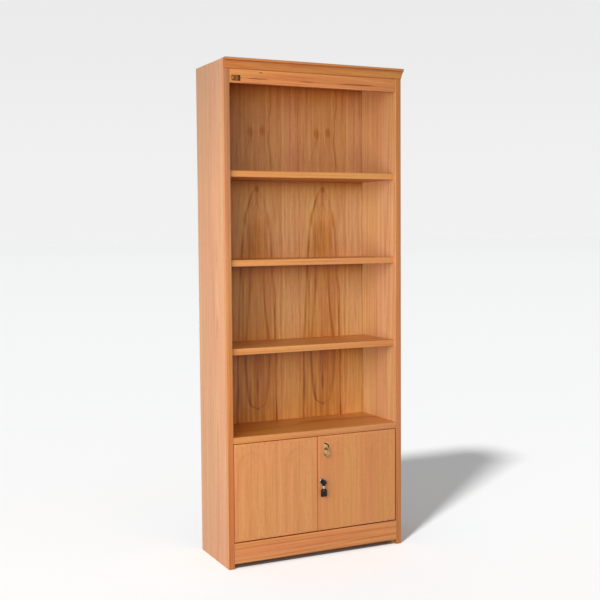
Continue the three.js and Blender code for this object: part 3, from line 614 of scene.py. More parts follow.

# Dull dark places: painted shade on the pull's plate and post, along the plate's upper right edge,
# under the post and on the plate inside the ring; and darker places on the blank plate
PULL_PAINTED_SHADE = [
    (0.033, 0.4655, 0.0052, 0.0046, 1.0), (0.038, 0.4645, 0.0052, 0.0048, 1.0),
    (0.043, 0.4615, 0.0052, 0.005, 1.0), (0.047, 0.457, 0.005, 0.0054, 1.0),
    (0.0495, 0.4515, 0.0048, 0.0056, 1.0), (0.051, 0.445, 0.0046, 0.005, 0.9),
    (0.036, 0.442, 0.0075, 0.0075, 1.0), (0.034, 0.4165, 0.004, 0.004, 0.9),
    (0.0495, 0.4165, 0.004, 0.004, 0.9), (0.0415, 0.409, 0.0034, 0.0034, 0.8),
]
BLANK_DARK_MARKS = [
    (-0.329, 0.0, 0.0066, 100.0, 1.0), (-0.36, 1.935, 0.008, 0.005, 0.8),
    (-0.345, 1.936, 0.02, 0.003, 0.6),
]
METALS = {
    "brass": metal("brass_aged", BRASS, 0.34, TARNISH),
    "chrome": metal("chrome", linear(150, 158, 164), 0.2, linear(104, 116, 124), spread=0.06),
    "steel": metal("steel_zinc", linear(196, 198, 200), 0.34, linear(162, 166, 172)),
    "black_plastic": plastic("plastic_black", linear(9, 7, 6), 0.45),
}
SPECIAL_METALS = {
    "pull_plate": metal("brass_pull_plate", BRASS, 0.36, TARNISH, dark_marks=PULL_PAINTED_SHADE, clouds=0.6),
    "pull_post": metal("brass_pull_post", BRASS, 0.3, TARNISH, dark_marks=PULL_PAINTED_SHADE, clouds=0.6),
    "pull_ring": metal("brass_pull_ring", linear(184, 146, 98), 0.46, linear(148, 108, 66)),
    "key_shank": metal("steel_key", linear(150, 128, 108), 0.45, linear(120, 98, 78)),
    "blank_plate": metal("brass_blank_plate", linear(158, 104, 54), 0.42, linear(114, 68, 26),
                         dark_marks=BLANK_DARK_MARKS),
    # The lock's face: a dark metal whose darkness is a painted reflection of dark surroundings
    "lock_plug": metal("lock_face", linear(84, 98, 106), 0.3, linear(58, 70, 78), spread=0.08),
}
WORN_WASHER = metal("steel_worn", linear(112, 88, 64), 0.5, linear(70, 50, 34))
SPECIAL_METALS.update(
    (node, WORN_WASHER) for node in SLOT_OF if node.startswith("hinge_washer")
)

# How far the edges of the fittings are softened, where it isn't the usual EDGE_ROUND
EDGE_ROUND = 0.0002
EDGE_ROUNDS = {"key_bow": 0.0011, "pull_plate": 0.0005, "blank_plate": 0.0004, "lock_cam": 0.0003}

# Boards that stand against the back, from the top down
BOARDS_ON_BACK = ("shelf_upper", "shelf_middle", "shelf_lower", "cabinet_top", "bottom_board")

# How far the painted shade on the back starts below the underside of the board that throws it, and
# how far the painted light on it starts above the top of the board that throws it back
SHADE_DROPS = {
    "top_panel": 0.0225, "shelf_upper": -0.006, "shelf_middle": 0.006, "shelf_lower": 0.02,
    "cabinet_top": 0.0,
}
LIGHT_RISES = dict.fromkeys(BOARDS_ON_BACK, 0.0)
FAR = 10.0


def board_distance(graph, height, sign, shifts):
    """How far a point lies from the board under it, where sign is 1, or over it, where it is -1."""
    nearest = FAR
    for node, shift in shifts.items():
        low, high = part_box(node)
        face = (high[Z] if sign > 0 else low[Z]) + sign * shift
        gap = graph.add(graph.times(height, sign), -sign * face)
        side = "LESS_THAN" if sign > 0 else "GREATER_THAN"
        passed = graph.times(graph.math(side, height, (low[Z] + high[Z]) / 2), FAR)
        nearest = graph.math("MINIMUM", nearest, graph.add(gap, passed))
    return nearest


# How squarely a face looks along an axis where its tone begins and where it is full
FACING_RANGE = (0.6, 0.9)

# Where the dark lines at the frieze's joints with the sides begin and are full, from its middle,
# and their tone, a dark joint deepened with painted shade
JOINT_SHADE_RANGE = (0.3684, 0.3694)
JOINT_SHADE_TONE = (0.5, 0.4, 0.3)


def by_face(axis, sign, tone, ramps=(), near_boards=()):
    """A tone of its own for the faces that look along one axis.

    ramps change it along other axes, and near_boards by the distance from the boards; most of these
    are painted shade and painted light.
    """
    def paint(graph, place, facing, colour):
        share = graph.fit(graph.times(facing[axis], sign), *FACING_RANGE)
        painted = graph.multiply(colour, tone)
        for direction, stops in ramps:
            painted = graph.multiply(painted, tone_ramp(graph, place[direction], stops))
        for side, shifts, stops in near_boards:
            away = board_distance(graph, place[Z], side, shifts)
            painted = graph.multiply(painted, tone_ramp(graph, away, stops))
        return graph.mix(share, colour, painted)
    return paint


def in_turn(*paints):
    """Several paints, one after another."""
    def paint(graph, place, facing, colour):
        for layer in paints:
            colour = layer(graph, place, facing, colour)
        return colour
    return paint


def joint_shade_lines(graph, place, facing, colour):
    """Dark lines where the frieze butts against the sides: dark joints with painted shade in them.
    """
    return graph.multiply(
        colour, JOINT_SHADE_TONE, graph.fit(graph.size(place[X]), *JOINT_SHADE_RANGE)
    )


def strip_wood(name, seed, tone, paint):
    """Straight-grained solid wood of a lipping that runs from side to side."""
    return wood(name, X, seed, tone, pith=(0.3, -0.5), slope=0.01, contrast=0.7, paint=paint)


# How far the free arrises of the boards are eased
ARRIS = 0.0014
FINE_ARRIS = 0.0011
ARRIS_STEPS = 3
EDGE_STEPS = 2
TOLERANCE = 1e-5
WELD = 1e-6
FLAT_ANGLE = math.radians(0.5)
SMOOTH_ANGLE = math.radians(38)


def is_free(edge, low, high, joined):
    """Whether an edge is an outer arris of its box and touches none of the joined sides."""
    sides = set()
    for axis, letter in enumerate("xyz"):
        places = [vert.co[axis] for vert in edge.verts]
        if all(abs(place - low[axis]) < TOLERANCE for place in places):
            sides.add(letter + "-")
        if all(abs(place - high[axis]) < TOLERANCE for place in places):
            sides.add(letter + "+")
    return len(sides) >= 2 and not sides & set(joined)


def cleaned_copy(node):
    """A node's mesh to work on, with its facets joined into whole faces that shade smoothly."""
    work = bmesh.new()
    work.from_mesh(NODES[node].data)
    bmesh.ops.remove_doubles(work, verts=work.verts, dist=WELD)
    bmesh.ops.dissolve_limit(work, angle_limit=FLAT_ANGLE, verts=work.verts, edges=work.edges)
    for face in work.faces:
        face.smooth = True
    return work


def finish_mesh(work, name):
    """Turns a worked mesh into an object of the scene."""
    data = bpy.data.meshes.new(name)
    work.to_mesh(data)
    work.free()
    return in_scene(name, data)


def settle(piece, material, body):
    """Gives a piece its material and slot, and lets it ride on its body."""
    piece.data.materials.append(material)
    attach(piece, body)


def stand_for(piece, node, material):
    """Lets a piece take its node's place."""
    settle(piece, material, BODY_OF[node])
    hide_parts(node)


def add_bevel(piece, name, limit, width, steps):
    bevel = piece.modifiers.new(name, "BEVEL")
    bevel.limit_method = limit
    bevel.width = width
    bevel.segments = steps
    bevel.harden_normals = True
    return bevel


def dress_board(node, material, joined=(), arris=ARRIS):
    """A board with its free arrises eased by sandpaper."""
    work = cleaned_copy(node)
    low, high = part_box(node)
    weights = work.edges.layers.float.new("bevel_weight_edge")
    for edge in work.edges:
        eased = is_free(edge, low, high, joined)
        edge[weights] = 1.0 if eased else 0.0
        if not eased and edge.calc_face_angle(0.0) > SMOOTH_ANGLE:
            edge.smooth = False
    piece = finish_mesh(work, node + "_eased")
    add_bevel(piece, "arris", "WEIGHT", arris, ARRIS_STEPS)
    stand_for(piece, node, material)


def dress_metal(node, material, edge_round):
    """A small fitting with softened edges and smooth round faces."""
    piece = finish_mesh(cleaned_copy(node), node + "_worked")
    bevel = add_bevel(piece, "edges", "ANGLE", edge_round, EDGE_STEPS)
    bevel.angle_limit = SMOOTH_ANGLE
    stand_for(piece, node, material)


# Dark flecks of the frieze: height, place along it, half height, half length, strength
FRIEZE_SPOTS = [
    (1.95, -0.237, 0.004, 0.009, 0.7), (1.927, -0.25, 0.0035, 0.06, 0.5),
    (1.9255, -0.04, 0.003, 0.05, 0.4), (1.926, 0.185, 0.004, 0.12, 0.6),
    (1.915, -0.1, 0.002, 0.12, 0.25),
]

# Tones of single faces: the inner sides, the back, the undersides, and what changes along them,
# much of it painted shade and painted light
PLAIN = (1.0, 1.0, 1.0)
INNER_TONE = (0.985, 1.35, 1.58)
# Painted shade on the inner faces of the sides: darker toward the top, under the frieze and crown,
# and a little lighter low down
INNER_PAINTED_SHADE = [
    (Z, [(0.5, (1.05, 1.0, 0.98)), (1.2, (1.05, 1.0, 1.0)), (1.45, (1.02, 1.0, 1.0)),
         (1.62, (0.93, 0.82, 0.79)), (1.9, (0.84, 0.7, 0.66))]),
]
OUTER_TONE = (1.0, 1.08, 1.11)
# Painted shade on the outer faces: darker toward the top
OUTER_PAINTED_SHADE = [(Z, [(1.5, PLAIN), (1.95, (0.84, 0.82, 0.82))])]
BACK_TONE = (1.07, 1.35, 1.4)
# Painted shade and light on the back: darker toward the top bay and low down by the cabinet,
# yellower to the left where the left side shades it, paler to the right
BACK_PAINTED_LIGHT_AND_SHADE = [
    (Z, [(0.5, (0.94, 0.8, 0.52)), (0.8, (0.98, 0.88, 0.68)), (0.9, (1.0, 0.98, 0.94)),
         (1.05, (1.0, 0.98, 0.97)), (1.25, (1.02, 1.02, 1.05)), (1.5, (1.02, 1.02, 1.06)),
         (1.62, (0.91, 0.79, 0.78)), (1.93, (0.88, 0.72, 0.7))]),
    (X, [(-0.37, (1.04, 0.97, 0.68)), (-0.2, (0.97, 0.91, 0.74)), (-0.1, (0.95, 0.9, 0.82)),
         (0.05, (0.94, 0.91, 0.87)), (0.2, (0.93, 0.91, 0.89)), (0.3, (0.93, 0.97, 1.06)),
         (0.34, (0.93, 1.04, 1.2)), (0.37, (0.93, 1.1, 1.32))]),
]
# Painted shade on the back just under each board, darker and browner close to it, and painted light
# just over each board, by the distance from it
PAINTED_SHADE_UNDER_BOARDS = [
    (0.002, (0.42, 0.25, 0.08)), (0.01, (0.58, 0.4, 0.18)), (0.022, (0.76, 0.6, 0.36)),
    (0.04, (0.9, 0.81, 0.6)), (0.058, (0.97, 0.92, 0.79)), (0.085, (1.0, 0.98, 0.93)),
    (0.12, PLAIN),
]
PAINTED_LIGHT_OVER_BOARDS = [
    (0.004, (1.25, 1.21, 1.17)), (0.02, (1.18, 1.15, 1.12)), (0.037, (1.11, 1.1, 1.08)),
    (0.055, (1.06, 1.05, 1.04)), (0.1, PLAIN),
]
# Painted shade: the undersides of the boards darker and browner
UNDERSIDE_SHADE = (0.62, 0.38, 0.18)
# Painted shade on the fronts of the side lippings: darker toward the top and toward the foot
LIPPING_FRONT_SHADE = {
    "left": [(Z, [
        (0.27, (0.85, 0.62, 0.5)), (0.68, (0.95, 0.83, 0.7)), (1.05, (0.84, 0.87, 0.87)),
        (1.41, (0.72, 0.72, 0.75)), (1.82, (0.61, 0.61, 0.61)),
    ])],
    "right": [(Z, [
        (0.3, (0.94, 0.88, 0.75)), (0.68, (1.0, 1.0, 0.95)), (1.05, (0.98, 0.96, 0.82)),
        (1.41, (0.93, 0.91, 0.82)), (1.7, (0.85, 0.8, 0.7)), (1.88, (0.83, 0.72, 0.52)),
    ])],
}
# Painted shade on the right lipping's inner face below the cabinet top, in the gap beside the right
# door
LIPPING_INNER_SHADE = {"left": [], "right": [(Z, [(0.49, (0.55, 0.36, 0.18)), (0.51, PLAIN)])]}
LIPPING_INNER_TONE = (1.18, 1.36, 1.75)
LIPPING_TONES = {"left": (0.93, 0.93, 0.8), "right": (0.86, 0.83, 0.7)}
# Painted shade on the crown's front: dark at its foot, darker over its upper cove and at its top
# edge
CROWN_PAINTED_SHADE = [
    (Z, [(1.961, (0.6, 0.45, 0.3)), (1.9645, (0.98, 0.95, 0.85)), (1.976, (0.92, 0.88, 0.7)),
         (1.99, (0.88, 0.84, 0.66)), (1.992, PLAIN), (1.997, PLAIN),
         (2.0, (0.78, 0.78, 0.84))]),
]
# Painted shade on the frieze's front, darker toward the top and dark just under the crown; it is
# also bluer to the left
FRIEZE_SHADE_AND_TONE = [
    (Z, [(1.907, PLAIN), (1.93, (0.93, 0.9, 0.85)), (1.955, (0.93, 0.9, 0.78)),
         (1.9575, (0.93, 0.88, 0.74)), (1.9605, (0.6, 0.47, 0.32))]),
    (X, [(-0.37, (0.98, 1.02, 1.25)), (-0.2, (0.99, 1.0, 1.1)), (0.0, PLAIN)]),
]
SHELF_TOP_TONE = (0.98, 1.06, 0.66)
# Painted shade on the cabinet top: yellower, and darker and yellower still to the left where the
# left side shades it
CABINET_TOP_SHADE = [
    (X, [(-0.37, (0.98, 0.7, 0.2)), (-0.1, (0.95, 0.85, 0.5)), (0.15, (1.0, 0.92, 0.75)),
         (0.37, (1.0, 1.0, 0.75))]),
]

# Painted shade and painted light on the faces in the narrow gaps round the doors: shade in the
# bottom gap and at the right door's right edge, light in the top and left gaps and, a little, in
# the middle one
BOTTOM_GAP_SHADE = (0.42, 0.19, 0.03)
GAP_PAINTED_LIGHT = (1.5, 1.45, 1.25)
MIDDLE_GAP_LIGHT = (1.0, 1.15, 1.05)
RIGHT_GAP_SHADE = (0.8, 0.55, 0.3)

# Each door's figure, seed, tone, and the painted light and shade of its left and right edges
DOORS = {
    "left": (DOOR_FIGURE, 91.0, (0.97, 1.0, 0.98), GAP_PAINTED_LIGHT, MIDDLE_GAP_LIGHT),
    "right": (RIGHT_DOOR_FIGURE, 93.0, (0.97, 1.02, 0.88), MIDDLE_GAP_LIGHT, RIGHT_GAP_SHADE),
}

# The filled hole in the left side: centre and radius
SIDE_PLUG = (Vector((-0.395, -0.028, 0.618)), 0.0035)

# Sides of a board that meet another one, where the arris stays sharp
ENDS = ("x-", "x+")
ALL_ROUND = ("x-", "x+", "y-", "y+")


def make_sides():
    for side, sign in (("left", -1), ("right", 1)):
        panel = wood(
            f"veneer_side_{side}", Z, 11.0 + sign, (1.0, 1.03, 1.04), pith=(sign * 0.43, -0.02),
            slope=0.028, rings=150.0, contrast=0.8, dot=SIDE_PLUG if side == "left" else None,
            paint=in_turn(by_face(X, -sign, INNER_TONE, INNER_PAINTED_SHADE),
                          by_face(X, sign, OUTER_TONE, OUTER_PAINTED_SHADE)),
        )
        dress_board(f"side_panel_{side}", panel, ("y-", "x+" if side == "left" else "x-"))
        lipping = wood(
            f"lipping_side_{side}", Z, 21.0 + sign, LIPPING_TONES[side], pith=(sign * 0.2, -0.3),
            slope=0.01, contrast=0.7,
            paint=in_turn(by_face(Y, -1, PLAIN, LIPPING_FRONT_SHADE[side]),
                          by_face(X, -sign, LIPPING_INNER_TONE, LIPPING_INNER_SHADE[side]),
                          by_face(X, sign, PLAIN, OUTER_PAINTED_SHADE)),
        )
        dress_board(f"side_lipping_{side}", lipping, ("y+", "z+"))


def make_top_and_back():
    underside = by_face(Z, -1, UNDERSIDE_SHADE)
    dress_board("top_panel", wood("veneer_top", X, 31.0, pith=(0.3, 2.2)), (*ENDS, "y-"))
    crown = wood(
        "crown_wood", X, 33.0, (0.82, 0.8, 0.52), pith=(2.3, 0.3), slope=0.01, contrast=0.8,
        paint=in_turn(by_face(Y, -1, PLAIN, CROWN_PAINTED_SHADE), underside),
    )
    dress_board("crown_moulding", crown, (*ENDS, "y+"))
    frieze = wood(
        "frieze_wood", X, 35.0, (0.97, 0.93, 0.68), pith=(2.2, 0.3), slope=0.02, contrast=0.9,
        spots=FRIEZE_SPOTS,
        paint=in_turn(joint_shade_lines, by_face(Y, -1, PLAIN, FRIEZE_SHADE_AND_TONE), underside),
    )
    dress_board("frieze_rail", frieze, ("z+",))
    back = wood(
        "veneer_back", Z, 41.0, (0.93, 1.0, 0.93), contrast=0.8, figure=BACK_FIGURE,
        ring_share=0.3, wisps=0.5,
        paint=by_face(Y, -1, BACK_TONE, BACK_PAINTED_LIGHT_AND_SHADE,
                      ((-1, SHADE_DROPS, PAINTED_SHADE_UNDER_BOARDS), (1, LIGHT_RISES, PAINTED_LIGHT_OVER_BOARDS))),
    )
    dress_board("back_panel", back, ALL_ROUND)


def make_shelves():
    underside = by_face(Z, -1, UNDERSIDE_SHADE)
    for number, name in enumerate(("lower", "middle", "upper")):
        board = wood(f"veneer_shelf_{name}", X, 51.0 + number, SHELF_TOP_TONE,
                     pith=(0.25, 0.6 + number), slope=0.04, paint=underside)
        dress_board(f"shelf_{name}", board, ALL_ROUND)
        strip = strip_wood(f"lipping_shelf_{name}", 61.0 + number, (0.98, 1.02, 0.82), underside)
        dress_board(f"shelf_lipping_{name}", strip, (*ENDS, "y+"))


def make_cabinet():
    # The cabinet top gets painted shade, its lipping's underside painted light in the top gap, and
    # the bottom lipping's top painted shade in the gap under the doors
    for node, seed, tone, paint, strip_paint in (
        ("cabinet_top", 71.0, (0.95, 1.0, 0.7), by_face(Z, 1, PLAIN, CABINET_TOP_SHADE),
         by_face(Z, -1, GAP_PAINTED_LIGHT)),
        ("bottom_board", 73.0, (0.93, 1.0, 0.76), None, by_face(Z, 1, BOTTOM_GAP_SHADE)),
    ):
        board = wood(f"veneer_{node}", X, seed, tone, pith=(0.0, 0.1), slope=0.04, paint=paint)
        dress_board(node, board, ALL_ROUND)
        strip = strip_wood(f"lipping_{node}", seed + 1.0, (0.96, 0.94, 0.74), strip_paint)
        dress_board(f"{node}_lipping", strip, (*ENDS, "y+"))
    plinth = wood("plinth_wood", X, 81.0, (0.95, 0.88, 0.78), pith=(-0.1, 0.02), slope=0.02)
    dress_board("plinth_board", plinth, ENDS)
    for side in DOORS:
        block = wood(f"block_{side}", Z, 83.0, (1.05, 1.12, 1.1), pith=(0.1, -0.02), slope=0.05,
                     rings=150.0, contrast=0.8)
        dress_board(f"plinth_block_{side}", block)
        stop = wood(f"stop_{side}", X, 85.0, pith=(-0.1, 0.45))
        dress_board(f"door_stop_{side}", stop, ("z+",), FINE_ARRIS)


def make_doors():
    for side, (figure, seed, tone, left_edge, right_edge) in DOORS.items():
        # Painted light on the doors' tops and their edges in the left and middle gaps, painted
        # shade under them and on the right door's right edge
        panel = wood(f"veneer_door_{side}", Z, seed, tone, figure=figure, contrast=0.6,
                     ring_share=0.2, paint=by_face(Z, 1, GAP_PAINTED_LIGHT))
        dress_board(f"door_panel_{side}", panel, (*ALL_ROUND, "z-", "z+"))
        edging = wood(
            f"lipping_door_{side}", Z, seed + 4.0, (1.0, 1.0, 0.9), pith=(-0.35, 0.2), slope=0.01,
            contrast=0.5,
            paint=in_turn(by_face(Z, -1, BOTTOM_GAP_SHADE), by_face(Z, 1, GAP_PAINTED_LIGHT),
                          by_face(X, -1, left_edge), by_face(X, 1, right_edge)),
        )
        dress_board(f"door_lipping_{side}", edging, (), FINE_ARRIS)


def make_fittings():
    """The metal and plastic parts, in their slot's material or one of their own."""
    for node, slot in SLOT_OF.items():
        if slot in METALS and not NODES[node].hide_render:
            dress_metal(node, SPECIAL_METALS.get(node, METALS[slot]),
                        EDGE_ROUNDS.get(node, EDGE_ROUND))


def bridge(work, loops, steps):
    """Joins closed loops of vertices, some of which may be a single point, with faces."""
    for lower, upper in zip(loops, loops[1:]):
        for step in range(steps):
            following = (step + 1) % steps
            corners = [
                lower[step % len(lower)], lower[following % len(lower)],
                upper[following % len(upper)], upper[step % len(upper)],
            ]
            distinct = list(dict.fromkeys(corners))
            if len(distinct) > 2:
                work.faces.new(distinct)


def add_loop(work, place, points):
    return [work.verts.new(place @ Vector(point)) for point in points]


def lathe(work, place, outline, deep=1.0, steps=24):
    """Adds a closed turned form to a mesh; outline lists (radius, height) from foot to tip."""
    turns = [2 * math.pi * step / steps for step in range(steps)]
    loops = []
    for radius, height in outline:
        ring = turns if radius else turns[:1]
        loops.append(add_loop(work, place, [
            (radius * math.cos(turn), deep * radius * math.sin(turn), height) for turn in ring
        ]))
    bridge(work, loops, steps)


# A slotted head, in shares of its radius, and how its slot turns from one screw to the next
HEAD_RISE = 0.1
HEAD_FLOOR = 0.015
HEAD_FLOOR_RADIUS = 0.98
HALF_SLOT = 0.13
SHOULDER_RISE = 0.6
CREST_SIZE = 0.9
HEAD_STEPS = 14
FIRST_TURN, NEXT_TURN = 0.6, 1.1


def slotted_head(work, place, radius, turn):
    """A countersunk head, flush with the plate, with a straight slot across it."""
    rise, floor, half_slot = radius * HEAD_RISE, radius * HEAD_FLOOR, radius * HALF_SLOT
    under = radius * HEAD_FLOOR_RADIUS
    lathe(work, place, [(0, 0), (under, 0), (under, floor), (0, floor)])
    turned = place @ Matrix.Rotation(turn, 4, "Z")
    start = math.asin(half_slot / radius)
    for side in (1, -1):
        rim = []
        for step in range(HEAD_STEPS + 1):
            angle = start + (math.pi - 2 * start) * step / HEAD_STEPS
            rim.append((side * radius * math.cos(angle), side * radius * math.sin(angle)))
        low = add_loop(work, turned, [(x, y, 0) for x, y in rim])
        shoulder = add_loop(work, turned, [(x, y, rise * SHOULDER_RISE) for x, y in rim])
        crest = add_loop(work, turned, [
            (x * CREST_SIZE, side * max(abs(y) * CREST_SIZE, half_slot), rise) for x, y in rim
        ])
        work.faces.new(crest)
        work.faces.new(list(reversed(low)))
        bridge(work, (low, shoulder, crest), len(rim))


AIMS = {
    "up": Matrix.Identity(4),
    "down": Matrix.Rotation(math.pi, 4, "X"),
    "back": Matrix.Rotation(-math.pi / 2, 4, "X"),
    "front": Matrix.Rotation(math.pi / 2, 4, "X"),
}


def place_small(work, name, body, slot):
    """Turns a mesh of small fittings into a piece that rides on its body."""
    bmesh.ops.recalc_face_normals(work, faces=work.faces)
    piece = finish_mesh(work, name)
    settle(piece, METALS[slot], body)
    return piece


def add_screws(name, body, slot, aim, radius, places):
    work = bmesh.new()
    for number, centre in enumerate(places):
        place = Matrix.Translation(centre) @ AIMS[aim]
        slotted_head(work, place, radius, FIRST_TURN + number * NEXT_TURN)
    place_small(work, name, body, slot)


# Hinge leaves: how far the screws are from the pivot, and the pivot from the leaf's end
SCREW_IN_LEAF = (0.016, 0.034)
LEAF_SCREW_RADIUS = 0.0031
LEAF_THICKNESS = 0.0025
LEAF_HALF_WIDTH = 0.005

# Screws of the bolt's case, the keeper and the strike
CASE_SCREW_ACROSS, CASE_SCREW_UP = 0.0095, 0.0255
CASE_PLATE = 0.002
KEEPER_SHEET = 0.002
KEEPER_SCREW_ACROSS = 0.007
KEEPER_SCREW_BACK = 0.012
SMALL_SCREW_RADIUS = 0.0026
STRIKE_SCREW_UP = 0.016
STRIKE_SCREW_RADIUS = 0.0034

# Pins of the back: their pitch, and the domed head as (radius, height)
PIN_PITCH = 0.09
PIN_STEPS = 10
PIN_DOME = [(0, -0.0002), (0.0016, -0.0002), (0.0016, 0.0002), (0.00112, 0.0005), (0, 0.0006)]

# The collar of the key's bow: its foot and top, its flatness, and (radius, share of its height)
FERRULE_TOP, FERRULE_FOOT = 0.2935, 0.2815
FERRULE_FLAT = 0.8
FERRULE_PROFILE = [
    (0, 0), (0.0034, 0), (0.0041, 0.08), (0.0036, 0.2), (0.0031, 0.5), (0.0036, 0.8),
    (0.004, 0.92), (0.0033, 1), (0, 1),
]


def middle(node):
    """The lowest and highest corners of a node's box, and its middle."""
    low, high = (Vector(corner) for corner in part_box(node))
    return low, high, (low + high) / 2


def make_hinge_screws():
    for side, inward in (("left", 1), ("right", -1)):
        for end, door_aim, frame_aim in (("top", "up", "down"), ("bottom", "down", "up")):
            for part, aim, body in (
                ("door", door_aim, f"door_{side}"), ("frame", frame_aim, "carcass")
            ):
                low, high, centre = middle(f"hinge_{part}_leaf_{side}_{end}")
                inset = LEAF_THICKNESS if part == "door" else 0.0
                face = low.z + inset if end == "top" else high.z - inset
                pin = (low.x if inward > 0 else high.x) + inward * LEAF_HALF_WIDTH
                add_screws(
                    f"screws_{part}_{side}_{end}", body, "brass", aim, LEAF_SCREW_RADIUS,
                    [(pin + inward * reach, centre.y, face) for reach in SCREW_IN_LEAF],
                )


def make_bolt_screws():
    low, high, centre = middle("bolt_case")
    add_screws(
        "screws_bolt_case", BODY_OF["bolt_case"], "steel", "back", SMALL_SCREW_RADIUS,
        [(centre.x + x * CASE_SCREW_ACROSS, low.y + CASE_PLATE, centre.z + z * CASE_SCREW_UP)
         for x in (-1, 1) for z in (-1, 1)],
    )
    low, high, centre = middle("bolt_keeper")
    add_screws(
        "screws_keeper", "carcass", "steel", "down", SMALL_SCREW_RADIUS,
        [(centre.x + x * KEEPER_SCREW_ACROSS, low.y + KEEPER_SCREW_BACK, high.z - KEEPER_SHEET)
         for x in (-1, 1)],
    )
    low, high, centre = middle("strike_block")
    add_screws(
        "screws_strike", BODY_OF["strike_block"], "steel", "back", STRIKE_SCREW_RADIUS,
        [(centre.x, high.y, centre.z + z * STRIKE_SCREW_UP) for z in (-1, 1)],
    )


def make_back_pins():
    """Rows of pins through the back into the boards that stand against it."""
    work = bmesh.new()
    rear = middle("back_panel")[1].y
    for node in BOARDS_ON_BACK:
        low, high, centre = middle(node)
        wide = high.x - low.x
        count = int(wide / PIN_PITCH) + 1
        for number in range(count):
            x = low.x + wide * (number + 0.5) / count
            place = Matrix.Translation((x, rear, centre.z)) @ AIMS["back"]
            lathe(work, place, PIN_DOME, steps=PIN_STEPS)
    place_small(work, "back_pins", "carcass", "steel")


def make_ferrule():
    """The bright collar on the thin stem of the key's bow."""
    centre = middle("key_bow")[2]
    tall = FERRULE_TOP - FERRULE_FOOT
    outline = [(radius, share * tall) for radius, share in FERRULE_PROFILE]
    work = bmesh.new()
    lathe(work, Matrix.Translation((centre.x, centre.y, FERRULE_FOOT)), outline, FERRULE_FLAT)
    piece = place_small(work, "key_ferrule", BODY_OF["key_bow"], "steel")
    for face in piece.data.polygons:
        face.use_smooth = True


# Floor and backdrop: greys as 8-bit levels, by the distance behind the middle and by height
FLOOR_HALF = 150.0
FLOOR_STOPS = [
    (-0.6, 254), (0.3, 253), (0.9, 251.5), (2.8, 249.5), (6.9, 247.5), (22.0, 245), (80.0, 242),
]
SKY_STOPS = [(0.0, 241.5), (0.06, 240.5), (0.11, 239), (0.15, 236.5), (0.22, 235), (0.6, 232)]
SOFT_LIGHT = (0.985, 0.995, 1.0)
SOFT_STRENGTH = 0.41

# What the floor throws back on the piece, and its tint near the foot
FLOOR_BOUNCE = linear(178, 166, 134)
FLOOR_BALANCE = (0.975, 1.0, 1.012)
BALANCE_RANGE = (0.5, 1.3)


def grey_ramp(graph, value, stops):
    """A grey that follows a list of (place, 8-bit level)."""
    return tone_ramp(graph, value, [(place, linear(level, level, level)) for place, level in stops])


def make_floor():
    data = bpy.data.meshes.new("floor")
    data.from_pydata(
        [(x * FLOOR_HALF, y * FLOOR_HALF, 0) for x, y in ((-1, -1), (1, -1), (1, 1), (-1, 1))],
        [], [(0, 1, 2, 3)],
    )
    floor = in_scene("floor", data)
    material = bpy.data.materials.new("floor_paint")
    graph = empty_tree(material)
    place = graph.node("ShaderNodeTexCoord").outputs["Object"]
    sight = (math.sin(CAMERA_YAW), math.cos(CAMERA_YAW), 0)
    inward = graph.node("ShaderNodeVectorMath", {0: place, 1: sight}, operation="DOT_PRODUCT")
    seen = grey_ramp(graph, inward.outputs["Value"], FLOOR_STOPS)
    away = graph.node("ShaderNodeVectorMath", {0: place}, operation="LENGTH").outputs["Value"]
    near = graph.fit(away, *BALANCE_RANGE, 1.0, 0.0)
    seen = graph.multiply(seen, FLOOR_BALANCE, near)
    colour = graph.mix(graph.seen_directly(), FLOOR_BOUNCE, seen)
    diffuse = graph.node("ShaderNodeBsdfDiffuse", {"Color": colour})
    graph.output("ShaderNodeOutputMaterial", diffuse.outputs[0])
    data.materials.append(material)
    return floor


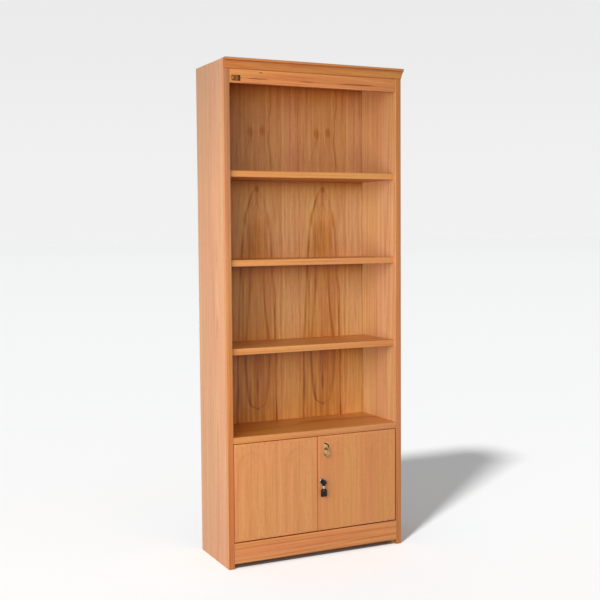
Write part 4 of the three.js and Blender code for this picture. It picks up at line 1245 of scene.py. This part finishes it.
def make_world():
    world = bpy.data.worlds.new("studio")
    bpy.context.scene.world = world
    graph = empty_tree(world)
    direction = graph.node("ShaderNodeTexCoord").outputs["Generated"]
    seen = grey_ramp(graph, graph.position(direction)["Z"], SKY_STOPS)
    sky = graph.node("ShaderNodeBackground", {"Color": seen})
    fill = graph.node("ShaderNodeBackground", {"Color": SOFT_LIGHT, "Strength": SOFT_STRENGTH})
    both = graph.node(
        "ShaderNodeMixShader", {0: graph.seen_directly(), 1: fill.outputs[0], 2: sky.outputs[0]}
    )
    graph.output("ShaderNodeOutputWorld", both.outputs[0])


# A broad soft lamp to the left for the piece alone, and a sun that only draws the floor's shadow
KEY_AIM = Vector((0.0, -0.1, 0.9))
KEY_FROM = Vector((-0.76, -0.62, 0.15)).normalized()
KEY_DISTANCE = 3.1
KEY_SIZE = 2.8
KEY_POWER = 108.0
SUN_TRAVEL = Vector((0.53, 0.43, -0.73)).normalized()
SUN_STRENGTH = 2.5
SUN_SPREAD = math.radians(6)


def aimed(name, data, direction, place):
    """A lamp at a place that shines along a direction."""
    lamp = in_scene(name, data)
    turn = direction.to_track_quat("-Z", "Y").to_matrix().to_4x4()
    lamp.matrix_world = Matrix.Translation(place) @ turn
    return lamp


def make_lights(floor):
    """Each lamp is linked to what it may light: the key to all but the floor, the sun to it."""
    key = bpy.data.lights.new("key", "AREA")
    key.shape = "DISK"
    key.size = KEY_SIZE
    key.energy = KEY_POWER
    key_lamp = aimed("key", key, -KEY_FROM, KEY_AIM + KEY_FROM * KEY_DISTANCE)
    not_floor = bpy.data.collections.new("all_but_floor")
    not_floor.objects.link(floor)
    not_floor.collection_objects[0].light_linking.link_state = "EXCLUDE"
    key_lamp.light_linking.receiver_collection = not_floor
    sun = bpy.data.lights.new("floor_sun", "SUN")
    sun.energy = SUN_STRENGTH
    sun.angle = SUN_SPREAD
    sun_lamp = aimed("floor_sun", sun, SUN_TRAVEL, Vector())
    only_floor = bpy.data.collections.new("only_floor")
    only_floor.objects.link(floor)
    sun_lamp.light_linking.receiver_collection = only_floor


make_camera()
bpy.context.scene.view_settings.view_transform = "Standard"
make_sides()
make_top_and_back()
make_shelves()
make_cabinet()
make_doors()
make_fittings()
make_hinge_screws()
make_bolt_screws()
make_back_pins()
make_ferrule()
FLOOR = make_floor()
make_world()
make_lights(FLOOR)
